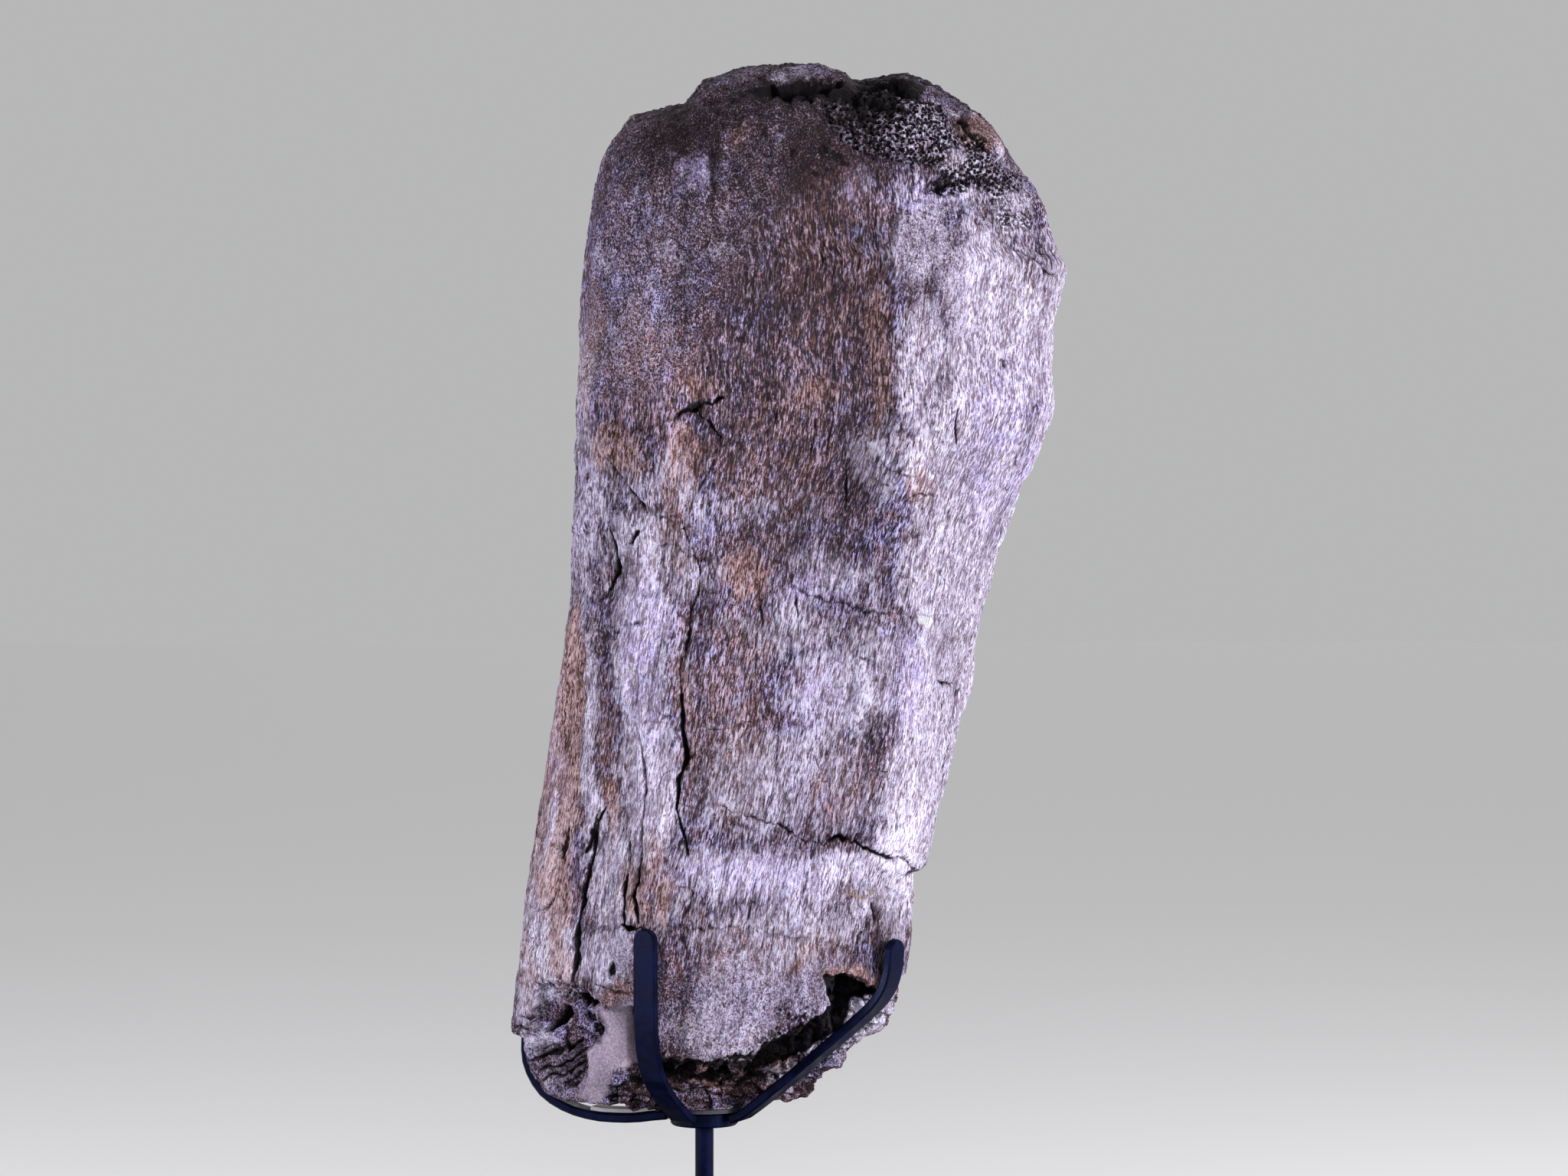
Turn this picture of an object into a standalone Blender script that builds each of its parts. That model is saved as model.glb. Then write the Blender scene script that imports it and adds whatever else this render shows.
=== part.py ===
# Upper part of a sauropod's fossil limb bone, standing on its broken end in a three-armed steel cradle.
# Metres, +Z up. The origin is the middle of the base plate's underside, and the bone's front faces -Y.
# Places on the bone's front are given as seen from straight ahead, SEEN_DISTANCE away and SEEN_HEIGHT up.
import math

import bmesh
import bpy
import numpy as np
from mathutils import Vector, noise

GAP = 0.0003

SEEN_DISTANCE = 2.418
SEEN_HEIGHT = 0.474
SEEN_MIDDLE = 0.002

BASE_LENGTH = 0.380
BASE_DEPTH = 0.260
BASE_THICKNESS = 0.010
BASE_CORNER = 0.012
EDGE_ROUNDING = 0.0012

POST_X = -0.050
POST_DIAMETER = 0.012
HUB_DIAMETER = 0.044
HUB_BOTTOM = 0.1240
HUB_TOP = 0.1336
PAD_DIAMETER = 0.053
PAD_THICKNESS = 0.0028
DISC_SIDES = 32

ARM_WIDTH = 0.0155
ARM_THICKNESS = 0.006
ARM_PAD_THICKNESS = 0.0024

ARM_START = 0.0235


def upright_path(heading, bends):
    # Places along an arm that is bent in one upright plane, from (distance from the post, height).
    way = math.radians(heading)
    return [(POST_X + radius * math.cos(way), radius * math.sin(way), height) for radius, height in bends]


# Each arm is a bent flat bar: (x, y, height) along its middle. The right one also swings towards the bone's side.
ARM_PATHS = {
    "front_arm": upright_path(-118.0, [
        (ARM_START, 0.1296), (0.0275, 0.1304), (0.033, 0.1342), (0.0440, 0.1418), (0.0595, 0.1545),
        (0.068, 0.1658), (0.0737, 0.1813), (0.0757, 0.1959), (0.0764, 0.215), (0.0765, 0.2575)]),
    "right_arm": [
        (-0.0308, -0.0135, 0.1296), (-0.0273, -0.0158, 0.1303), (-0.0225, -0.0185, 0.1336), (-0.0163, -0.0215, 0.1386),
        (-0.0065, -0.025, 0.1468), (0.0129, -0.029, 0.1630), (0.0321, -0.033, 0.1798), (0.0517, -0.037, 0.1971),
        (0.0615, -0.0392, 0.2067), (0.0665, -0.0402, 0.2137), (0.070, -0.0406, 0.2211), (0.0724, -0.0406, 0.2332),
        (0.0735, -0.0406, 0.2484)],
    "left_arm": upright_path(160.0, [
        (ARM_START, 0.1296), (0.0346, 0.1282), (0.0509, 0.1260), (0.0671, 0.1257), (0.0835, 0.1275),
        (0.0945, 0.1305), (0.1055, 0.1355), (0.1138, 0.1417), (0.1182, 0.1476), (0.124, 0.160), (0.125, 0.170),
        (0.124, 0.182), (0.1225, 0.200), (0.121, 0.235)]),
}
# The way each bar's flat side faces at its start and at its tip, in degrees around the post.
ARM_FACINGS = {"front_arm": (-118.0, -118.0), "right_arm": (-28.0, -40.0), "left_arm": (160.0, 160.0)}
ARM_PAD_REACH = (0.028, 0.078)

SHOULDER = 0.690
SEAT = HUB_TOP + GAP + PAD_THICKNESS + GAP
SEAT_RADIUS = PAD_DIAMETER / 2 + 0.002
SECTION_POWER = 2.7
DOME_POWER = 2.5
COLUMNS = 72
FRONT_SHARE = 1.7

# Outline seen from the front, as (height, x).
LEFT_EDGE = [(0.185, -0.177), (0.243, -0.1705), (0.330, -0.157), (0.430, -0.1425), (0.480, -0.1355), (0.560, -0.1345),
             (0.640, -0.1295), (0.690, -0.127)]
RIGHT_EDGE = [(0.180, 0.062), (0.205, 0.0765), (0.218, 0.080), (0.255, 0.086), (0.288, 0.088), (0.294, 0.0955),
              (0.355, 0.1095), (0.455, 0.1305), (0.518, 0.1485), (0.568, 0.1695), (0.593, 0.1755), (0.618, 0.174),
              (0.668, 0.181), (0.682, 0.1835), (0.690, 0.179)]
# The top's outline, as (x, height).
TOP_EDGE = [(-0.127, 0.690), (-0.1255, 0.706), (-0.1215, 0.730), (-0.1145, 0.755), (-0.095, 0.781), (-0.062, 0.791),
            (-0.048, 0.806), (0.002, 0.8155), (0.022, 0.8155), (0.038, 0.809), (0.050, 0.8035), (0.064, 0.805),
            (0.080, 0.8095), (0.095, 0.803), (0.116, 0.790), (0.137, 0.772), (0.151, 0.752), (0.1635, 0.738),
            (0.170, 0.724), (0.174, 0.706), (0.179, 0.690)]
# The outer bone's lower edge, as (x, height), on the front and on the back.
FRONT_BREAK = [(-0.177, 0.187), (-0.165, 0.187), (-0.158, 0.217), (-0.137, 0.218), (-0.121, 0.206), (-0.106, 0.200),
               (-0.092, 0.203), (-0.078, 0.167), (-0.056, 0.160), (-0.026, 0.160), (-0.012, 0.174), (0.012, 0.180),
               (0.020, 0.192), (0.034, 0.200), (0.042, 0.222), (0.054, 0.219), (0.066, 0.213), (0.088, 0.236)]
BACK_BREAK = [(-0.177, 0.187), (-0.140, 0.172), (-0.105, 0.180), (-0.070, 0.164), (-0.020, 0.170), (0.025, 0.186),
              (0.060, 0.205), (0.088, 0.238)]
# The inner bone below that edge, as (height, x).
CORE_LEFT = [(0.140, -0.140), (0.146, -0.153), (0.169, -0.167), (0.190, -0.169), (0.245, -0.165)]
CORE_RIGHT = [(0.140, 0.012), (0.146, 0.020), (0.164, 0.031), (0.173, 0.044), (0.187, 0.064), (0.208, 0.073),
              (0.245, 0.080)]
CORE_INSET = 0.008
RIM_HEIGHT = 0.1415
# Distance of the inner bone's lower rim from the middle plane, as (x, distance), on the front and on the back.
CORE_FRONT = [(-0.170, 0.046), (-0.110, 0.047), (-0.088, 0.034), (-0.050, 0.024), (-0.018, 0.012), (0.000, 0.008),
              (0.080, 0.008)]
CORE_BACK = [(-0.170, 0.042), (-0.090, 0.046), (-0.020, 0.040), (0.080, 0.030)]

# Half depth, as (height, distance from the middle plane).
FRONT_DEPTH = [(0.140, 0.058), (0.220, 0.060), (0.330, 0.060), (0.450, 0.063), (0.560, 0.070), (0.650, 0.079),
               (0.690, 0.081)]
BACK_DEPTH = [(0.140, 0.055), (0.220, 0.058), (0.330, 0.059), (0.450, 0.061), (0.560, 0.066), (0.650, 0.076),
              (0.690, 0.079)]

DOME_RINGS = [0.985, 0.96, 0.925, 0.875, 0.81, 0.73, 0.62, 0.48, 0.30, 0.12]
SHAFT_TOPS = [0.330, SHOULDER]
SHAFT_RINGS = [9, 26]
CORE_RINGS = 5

# Long grooves and ridges of the front, as ([(height, x), ...], depth or rise, half width).
FRONT_LINES = [
    ([(0.448, -0.130), (0.400, -0.132), (0.364, -0.1365), (0.301, -0.143)], -0.0050, 0.0070),
    ([(0.468, -0.1125), (0.428, -0.1105), (0.388, -0.1075), (0.364, -0.1125), (0.325, -0.1185), (0.301, -0.122),
      (0.268, -0.1315), (0.216, -0.1355)], -0.0050, 0.0045),
    ([(0.590, -0.042), (0.566, -0.040), (0.549, -0.056), (0.522, -0.066), (0.494, -0.056), (0.468, -0.060),
      (0.441, -0.061), (0.416, -0.0665), (0.382, -0.064), (0.364, -0.060), (0.347, -0.068), (0.307, -0.062)],
     -0.0085, 0.0042),
    ([(0.460, -0.090), (0.380, -0.088), (0.290, -0.092)], 0.0035, 0.0140),
    ([(0.700, 0.072), (0.560, 0.076), (0.450, 0.071), (0.380, 0.068), (0.290, 0.062)], 0.0085, 0.0160),
    ([(0.455, 0.068), (0.420, 0.050), (0.392, 0.044), (0.374, 0.043)], -0.0035, 0.0075),
    ([(0.720, 0.010), (0.560, 0.012), (0.430, 0.004)], -0.0085, 0.0480),
]
# Patches of the front, as (x, height, half width, half height, rise).
FRONT_PATCHES = [
    (0.075, 0.775, 0.036, 0.024, -0.0080),
    (0.122, 0.744, 0.030, 0.012, -0.0060),
    (0.130, 0.770, 0.013, 0.012, 0.0060),
    (-0.058, 0.590, 0.016, 0.005, -0.0060),
    (0.045, 0.308, 0.014, 0.006, -0.0040),
    (-0.128, 0.540, 0.014, 0.050, 0.0022),
    (-0.145, 0.194, 0.009, 0.008, -0.0070),
    (-0.145, 0.164, 0.018, 0.011, -0.0060),
]
# The back has a broad ridge, a long hollow beside it and two drying cracks.
BACK_LINES = [
    ([(0.720, -0.040), (0.480, -0.030), (0.260, -0.050)], 0.0100, 0.0330),
    ([(0.740, 0.070), (0.560, 0.062), (0.420, 0.040)], -0.0110, 0.0400),
    ([(0.560, 0.012), (0.470, 0.006), (0.380, 0.014), (0.280, 0.000)], -0.0060, 0.0045),
    ([(0.420, -0.100), (0.340, -0.107), (0.240, -0.118)], -0.0050, 0.0045),
]


def curve(points, at):
    # A smooth curve through the points that never swings past them.
    x, y = np.array(sorted(points)).T
    at = np.clip(at, x[0], x[-1])
    slope = np.diff(y) / np.diff(x)
    tangent = np.concatenate([slope[:1], np.zeros(len(slope) - 1), slope[-1:]])
    same_way = slope[:-1] * slope[1:] > 0
    total = np.where(same_way, slope[:-1] + slope[1:], 1.0)
    tangent[1:-1] = np.where(same_way, 2 * slope[:-1] * slope[1:] / total, 0.0)
    k = np.clip(np.searchsorted(x, at, side="right") - 1, 0, len(slope) - 1)
    span = x[k + 1] - x[k]
    t = (at - x[k]) / span
    level = y[k] * (1 + 2 * t) * (1 - t) ** 2 + y[k + 1] * t * t * (3 - 2 * t)
    return level + span * (tangent[k] * t * (1 - t) ** 2 - tangent[k + 1] * t * t * (1 - t))


def smooth_step(low, high, value):
    t = np.clip((value - low) / (high - low), 0.0, 1.0)
    return t * t * (3 - 2 * t)


def add_object(name, mesh, material):
    obj = bpy.data.objects.new(name, mesh)
    obj.data.materials.append(material)
    bpy.context.scene.collection.objects.link(obj)
    return obj


def add_material(name, colour, roughness, metallic=0.0):
    material = bpy.data.materials.new(name)
    material.use_nodes = True
    shader = material.node_tree.nodes["Principled BSDF"]
    shader.inputs["Base Color"].default_value = (*colour, 1.0)
    shader.inputs["Roughness"].default_value = roughness
    shader.inputs["Metallic"].default_value = metallic
    return material


def add_bevel(obj, width, segments):
    bevel = obj.modifiers.new("edge rounding", "BEVEL")
    bevel.width = width
    bevel.segments = segments
    bevel.limit_method = "ANGLE"
    bevel.angle_limit = math.radians(40)


def mesh_from(name, bm):
    bmesh.ops.recalc_face_normals(bm, faces=bm.faces)
    mesh = bpy.data.meshes.new(name)
    bm.to_mesh(mesh)
    bm.free()
    mesh.shade_smooth()
    mesh.set_sharp_from_angle(angle=math.radians(35))
    return mesh


def section(angle):
    # A rounded rectangle one unit across each way.
    across, along = np.cos(angle), np.sin(angle)
    power = 2 / SECTION_POWER
    return np.sign(across) * np.abs(across) ** power, np.sign(along) * np.abs(along) ** power


def column_angles():
    # Angles whose points lie evenly around the bone, and closer together on its front.
    dense = np.linspace(-math.pi, math.pi, 8001)
    p, q = section(dense)
    step = np.hypot(np.diff(p) * 2.2, np.diff(q))
    step = step * np.where(dense[:-1] < 0, FRONT_SHARE, 1.0)
    way = np.concatenate([[0.0], np.cumsum(step)])
    return np.interp(np.arange(COLUMNS) * way[-1] / COLUMNS, way, dense)


def half_depth(q, height):
    return np.where(q < 0, curve(FRONT_DEPTH, height), curve(BACK_DEPTH, height))


def outer_ring(angle, height):
    p, q = section(angle)
    left, right = curve(LEFT_EDGE, height), curve(RIGHT_EDGE, height)
    return np.stack([(left + right) / 2 + p * (right - left) / 2, q * half_depth(q, height), height], axis=-1)


def core_ring(angle, height, share, shrink=1.0):
    # The inner bone: share is 0 at its lower rim and 1 under the outer bone's edge.
    p, q = section(angle)
    left, right = curve(CORE_LEFT, height), curve(CORE_RIGHT, height)
    x = (left + right) / 2 + shrink * p * (right - left) / 2
    rim_depth = np.where(q < 0, curve(CORE_FRONT, x), curve(CORE_BACK, x))
    depth = rim_depth + (half_depth(q, height) - CORE_INSET - rim_depth) * share**3
    return np.stack([x, shrink * q * depth, height], axis=-1)


def dome_ring(angle, share):
    # The top: a ring drawn in towards the middle, raised to the outline's height and rounded to the front and back.
    edge = outer_ring(angle, np.full(COLUMNS, SHOULDER))
    left, right = edge[:, 0].min(), edge[:, 0].max()
    middle, half = (left + right) / 2, (right - left) / 2
    x = middle + share * (edge[:, 0] - middle)
    y = share * edge[:, 1]
    room = (1 - np.abs((x - middle) / half) ** SECTION_POWER) ** (1 / SECTION_POWER)
    lean = np.clip(np.abs(y) / (room * half_depth(y, np.full(COLUMNS, SHOULDER))), 0.0, 1.0)
    rise = (curve(TOP_EDGE, x) - SHOULDER) * (1 - lean**DOME_POWER) ** (1 / DOME_POWER)
    return np.stack([x, y, SHOULDER + rise], axis=-1)


def break_heights(angle):
    # The real height of the outer bone's lower edge in each column.
    p, q = section(angle)
    ring = outer_ring(angle, np.full(COLUMNS, 0.185))
    x, y = ring[:, 0], ring[:, 1]
    nearness = SEEN_DISTANCE / (SEEN_DISTANCE + y)
    seen_x = SEEN_MIDDLE + (x - SEEN_MIDDLE) * nearness
    front = SEEN_HEIGHT + (curve(FRONT_BREAK, seen_x) - SEEN_HEIGHT) / nearness
    return np.where(q < 0, front, curve(BACK_BREAK, x))


def bone_rings():
    angle = column_angles()
    edge = break_heights(angle)
    rim = np.full(COLUMNS, RIM_HEIGHT)
    lowest = core_ring(angle, rim, 0.0)
    heading = np.arctan2(lowest[:, 1], lowest[:, 0] - POST_X)
    seat = np.stack([POST_X + SEAT_RADIUS * np.cos(heading), SEAT_RADIUS * np.sin(heading), rim * 0 + SEAT], axis=-1)
    under = core_ring(angle, rim, 0.0, 0.94)
    under[:, 2] = RIM_HEIGHT - 0.002
    inner = seat + 0.45 * (under - seat)
    inner[:, 2] = RIM_HEIGHT - 0.003
    rings = [seat, inner, under]
    for i in range(CORE_RINGS):
        share = i / (CORE_RINGS - 1)
        rings.append(core_ring(angle, rim + (edge + 0.002 - rim) * share, share))
    low = edge
    for top, count in zip(SHAFT_TOPS, SHAFT_RINGS):
        for i in range(count):
            rings.append(outer_ring(angle, low + (top - low) * i / count))
        low = np.full(COLUMNS, top)
    rings.append(outer_ring(angle, low))
    rings += [dome_ring(angle, share) for share in DOME_RINGS]
    return np.array(rings)


def along_line(line, x, height):
    points, rise, half_width = line
    top, bottom = max(points)[0], min(points)[0]
    fade = smooth_step(bottom - 0.012, bottom + 0.012, height) * smooth_step(top + 0.012, top - 0.012, height)
    return rise * fade * math.exp(-(((x - curve(points, height)) / half_width) ** 2))


def front_relief(x, height):
    rise = sum(along_line(line, x, height) for line in FRONT_LINES)
    for centre_x, centre_z, half_width, half_height, lift in FRONT_PATCHES:
        reach = ((x - centre_x) / half_width) ** 2 + ((height - centre_z) / half_height) ** 2
        rise += lift * math.exp(-(reach**2))
    return rise


def relief(point, normal):
    # How far the surface stands out at this point: grooves and ridges, then the lumps of worn bone.
    nearness = SEEN_DISTANCE / (SEEN_DISTANCE + point.y)
    seen_x = SEEN_MIDDLE + (point.x - SEEN_MIDDLE) * nearness
    seen_z = SEEN_HEIGHT + (point.z - SEEN_HEIGHT) * nearness
    front = smooth_step(0.15, 0.55, -normal.y)
    back = smooth_step(0.15, 0.55, normal.y)
    rise = front * front_relief(seen_x, seen_z) + back * sum(along_line(line, point.x, point.z) for line in BACK_LINES)
    stretched = Vector((point.x * 22, point.y * 22, point.z * 9))
    return rise + 0.0016 * noise.noise(stretched) + 0.0008 * noise.noise(point * 70)


def make_bone(material):
    rings = bone_rings()
    rows = len(rings)
    bm = bmesh.new()
    bmesh.ops.create_cone(bm, cap_ends=True, segments=COLUMNS, radius1=1, radius2=1, depth=rows - 1)
    uprights = [edge for edge in bm.edges if abs(edge.verts[0].co.z - edge.verts[1].co.z) > 1]
    bmesh.ops.subdivide_edges(bm, edges=uprights, cuts=rows - 2, use_grid_fill=True)
    for vert in bm.verts:
        row = round(vert.co.z + (rows - 1) / 2)
        column = round(math.atan2(vert.co.y, vert.co.x) / math.tau * COLUMNS) % COLUMNS
        vert.co = rings[row, column]
    bm.normal_update()
    rises = []
    for vert in bm.verts:
        held = smooth_step(SEAT + 0.002, SEAT + 0.012, vert.co.z)
        rises.append(vert.normal * float(held * relief(vert.co, vert.normal)))
    for vert, rise in zip(bm.verts, rises):
        vert.co += rise
    return add_object("bone", mesh_from("bone", bm), material)


def arm_point(name, way):
    # Place of the bar's middle at this share of its path, and the path's length.
    path = np.array(ARM_PATHS[name])
    reach = np.concatenate([[0.0], np.cumsum(np.linalg.norm(np.diff(path, axis=0), axis=1))])
    return Vector([curve(list(zip(reach, path[:, axis])), way * reach[-1]) for axis in range(3)]), reach[-1]


def bent_strip(name, arm, start, end, width, round_tip, steps):
    # A flat strip along an arm's path, with its end rounded where it is free.
    bm = bmesh.new()
    bmesh.ops.create_grid(bm, x_segments=steps, y_segments=1, size=0.5)
    first_facing, last_facing = ARM_FACINGS[arm]
    length = arm_point(arm, 1.0)[1]
    for vert in bm.verts:
        share = vert.co.x + 0.5
        way = start + (end - start) * (1 - (1 - share) ** 1.5 if round_tip else share)
        to_tip = (end - way) * length
        half = width / 2
        if round_tip and to_tip < half:
            half = math.sqrt(max(half**2 - (half - to_tip) ** 2, (0.15 * half) ** 2))
        facing = math.radians(first_facing + (last_facing - first_facing) * way)
        side = Vector((-math.sin(facing), math.cos(facing), 0))
        vert.co = arm_point(arm, way)[0] + side * (half if vert.co.y > 0 else -half)
    bmesh.ops.recalc_face_normals(bm, faces=bm.faces)
    mesh = bpy.data.meshes.new(name)
    bm.to_mesh(mesh)
    bm.free()
    return mesh


def make_arm(name, material):
    mesh = bent_strip(name, name, 0.0, 1.0, ARM_WIDTH, True, 28)
    arm = add_object(name, mesh, material)
    solid = arm.modifiers.new("bar thickness", "SOLIDIFY")
    solid.thickness = ARM_THICKNESS
    solid.offset = 0.0
    add_bevel(arm, EDGE_ROUNDING, 1)
    return arm


def make_arm_pad(material):
    length = arm_point("left_arm", 1.0)[1]
    start, end = ((reach - ARM_START) / length for reach in ARM_PAD_REACH)
    mesh = bent_strip("left_arm_pad", "left_arm", start, end, ARM_WIDTH - 0.002, False, 10)
    pad = add_object("left_arm_pad", mesh, material)
    pad.location.z = ARM_THICKNESS / 2 + GAP + ARM_PAD_THICKNESS / 2 + 0.0004
    solid = pad.modifiers.new("pad thickness", "SOLIDIFY")
    solid.thickness = ARM_PAD_THICKNESS
    solid.offset = 0.0
    return pad


def make_disc(name, diameter, bottom, top, material):
    radius = diameter / 2
    bm = bmesh.new()
    bmesh.ops.create_cone(bm, cap_ends=True, segments=DISC_SIDES, radius1=radius, radius2=radius, depth=top - bottom)
    disc = add_object(name, mesh_from(name, bm), material)
    disc.location = (POST_X, 0, (top + bottom) / 2)
    return disc


def make_base_plate(material):
    bm = bmesh.new()
    bmesh.ops.create_cube(bm, size=1)
    bmesh.ops.scale(bm, vec=(BASE_LENGTH, BASE_DEPTH, BASE_THICKNESS), verts=bm.verts)
    corners = [edge for edge in bm.edges if abs(edge.verts[0].co.z - edge.verts[1].co.z) > BASE_THICKNESS / 2]
    bmesh.ops.bevel(bm, geom=corners, offset=BASE_CORNER, segments=6, profile=0.5, affect="EDGES")
    plate = add_object("base_plate", mesh_from("base_plate", bm), material)
    plate.location = (0, 0, BASE_THICKNESS / 2)
    add_bevel(plate, EDGE_ROUNDING, 1)
    return plate


def main():
    for obj in list(bpy.data.objects):
        bpy.data.objects.remove(obj)
    fossil = add_material("fossil_bone", (0.40, 0.33, 0.36), 0.75)
    paint = add_material("black_paint", (0.012, 0.014, 0.030), 0.38)
    grey_pad = add_material("grey_pad", (0.16, 0.16, 0.18), 0.9)
    pale_pad = add_material("pale_pad", (0.62, 0.60, 0.60), 0.9)
    make_base_plate(paint)
    make_disc("post", POST_DIAMETER, BASE_THICKNESS + GAP, HUB_BOTTOM - GAP, paint)
    add_bevel(make_disc("cradle_hub", HUB_DIAMETER, HUB_BOTTOM, HUB_TOP, paint), EDGE_ROUNDING, 1)
    make_disc("seat_pad", PAD_DIAMETER, HUB_TOP + GAP, HUB_TOP + GAP + PAD_THICKNESS, grey_pad)
    for name in ARM_PATHS:
        make_arm(name, paint)
    make_arm_pad(pale_pad)
    make_bone(fossil)


main()
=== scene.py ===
import math

import bmesh
import bpy
import numpy as np
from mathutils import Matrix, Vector


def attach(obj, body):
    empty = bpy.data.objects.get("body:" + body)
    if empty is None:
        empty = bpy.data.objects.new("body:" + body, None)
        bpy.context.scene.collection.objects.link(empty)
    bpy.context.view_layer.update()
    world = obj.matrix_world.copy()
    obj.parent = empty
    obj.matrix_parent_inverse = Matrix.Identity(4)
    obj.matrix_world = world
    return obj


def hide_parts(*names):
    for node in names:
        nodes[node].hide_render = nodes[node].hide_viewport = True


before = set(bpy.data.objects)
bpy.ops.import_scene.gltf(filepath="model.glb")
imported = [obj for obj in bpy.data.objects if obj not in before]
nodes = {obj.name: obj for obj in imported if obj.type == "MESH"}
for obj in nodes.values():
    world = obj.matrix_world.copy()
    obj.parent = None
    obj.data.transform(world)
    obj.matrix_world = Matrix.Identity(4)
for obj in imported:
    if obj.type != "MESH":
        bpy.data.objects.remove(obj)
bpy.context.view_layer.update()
mm = 0.001
print("the packed frame is loaded")

# The camera looks straight ahead at the bone's front. Places on the front are given as it sees them, in
# millimetres across and up, in the plane through the post.
view = {"distance": 2.418, "height": 0.474, "middle": 0.002, "lens": 85.0, "sensor": 36.0}


# Small tools for arrays of numbers

def curve(points, at):
    # a smooth curve through the points that never swings past them
    x, y = np.array(sorted(points), float).T
    at = np.clip(at, x[0], x[-1])
    slope = np.diff(y) / np.diff(x)
    tangent = np.concatenate([slope[:1], np.zeros(len(slope) - 1), slope[-1:]])
    sameWay = slope[:-1] * slope[1:] > 0
    total = np.where(sameWay, slope[:-1] + slope[1:], 1.0)
    tangent[1:-1] = np.where(sameWay, 2 * slope[:-1] * slope[1:] / total, 0.0)
    k = np.clip(np.searchsorted(x, at, side="right") - 1, 0, len(slope) - 1)
    span = x[k + 1] - x[k]
    t = (at - x[k]) / span
    level = y[k] * (1 + 2 * t) * (1 - t) ** 2 + y[k + 1] * t * t * (3 - 2 * t)
    return level + span * (tangent[k] * t * (1 - t) ** 2 - tangent[k + 1] * t * t * (1 - t))


def smoothStep(low, high, value):
    t = np.clip((value - low) / (high - low), 0.0, 1.0)
    return t * t * (3 - 2 * t)


corners = [(i, j, k) for i in range(2) for j in range(2) for k in range(2)]


def scatter(x, y, z, seed):
    # one repeatable number from 0 to 1 for each whole-numbered cell
    key = x * np.uint32(73856093) + y * np.uint32(19349663) + z * np.uint32(83492791)
    key = key + np.uint32(seed * 40503)
    key = (key ^ (key >> 13)) * np.uint32(1274126177)
    key = (key ^ (key >> 15)) * np.uint32(668265263)
    return ((key ^ (key >> 17)) & np.uint32(0xFFFFF)) * np.float32(1 / 0xFFFFF)


def cellsOf(spot):
    # the whole-numbered cell of each place, and how far into it the place lies
    low = np.floor(spot)
    return [low[..., axis].astype(np.int32).astype(np.uint32) for axis in range(3)], spot - low


def cloud(points, size, seed, octaves=1):
    # soft random relief from -1 to 1, with lumps of this size; size may differ along each axis
    total = 0.0
    strength = 1.0
    weightSum = 0.0
    scaled = (points / np.array(size)).astype(np.float32)
    for octave in range(octaves):
        (x, y, z), part = cellsOf(scaled * np.float32(2.03**octave) + np.float32(17.3 * octave))
        part = part * part * (3.0 - 2.0 * part)
        share = [(1.0 - part[..., axis], part[..., axis]) for axis in range(3)]
        level = 0.0
        for i, j, k in corners:
            corner = scatter(x + np.uint32(i), y + np.uint32(j), z + np.uint32(k), seed + octave * 31)
            level = level + share[0][i] * share[1][j] * share[2][k] * corner
        total = total + strength * (2.0 * level - 1.0)
        weightSum += strength
        strength *= 0.5
    return total / weightSum


def neighbours(points, size, seed):
    # for each of the cells around every place: the cell, the way to its scattered point and how far that is
    spot = (points / np.array(size)).astype(np.float32)
    cell, part = cellsOf(spot - 0.5)
    part = part + 0.5
    for corner in corners:
        home = [low + np.uint32(step) for low, step in zip(cell, corner)]
        away = [step + scatter(*home, seed + axis) - part[..., axis] for axis, step in enumerate(corner)]
        yield home, away, np.sqrt(away[0] ** 2 + away[1] ** 2 + away[2] ** 2)


def cellDistance(points, size, seed):
    # distance to the nearest scattered point, in cell sizes, for pores
    nearest = np.full(points.shape[:-1], 9.0, np.float32)
    for home, away, distance in neighbours(points, size, seed):
        nearest = np.minimum(nearest, distance)
    return nearest


def stonyBlocks(points, size, seed):
    # angular blocks: how far a place is from the joints between them, and how high their slanting faces are
    first = np.full(points.shape[:-1], 9.0, np.float32)
    second = first.copy()
    face = np.zeros(points.shape[:-1], np.float32)
    for home, away, distance in neighbours(points, size, seed):
        slant = [(scatter(*home, seed + 8 + axis) - 0.5) * away[axis] for axis in (0, 2)]
        face = np.where(distance < first, scatter(*home, seed + 7) + 1.6 * (slant[0] + slant[1]), face)
        second = np.minimum(second, np.maximum(first, distance))
        first = np.minimum(first, distance)
    return second - first, face


def terrace(value, steps, softness):
    # turns a smooth value into level steps with steep edges
    level = value * steps
    low = np.floor(level)
    return (low + smoothStep(0.5 - softness, 0.5 + softness, level - low)) / steps


def blurred(values, reach):
    # the mean over neighbouring rows and columns of the grid
    rows = np.pad(values, ((reach, reach), (0, 0)), mode="edge")
    total = np.concatenate([np.zeros((1, values.shape[1])), np.cumsum(rows, axis=0)])
    values = (total[2 * reach + 1:] - total[:-2 * reach - 1]) / (2 * reach + 1)
    columns = np.pad(values, ((0, 0), (reach, reach)), mode="wrap")
    total = np.concatenate([np.zeros((len(values), 1)), np.cumsum(columns, axis=1)], axis=1)
    return (total[:, 2 * reach + 1:] - total[:, :-2 * reach - 1]) / (2 * reach + 1)


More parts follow.
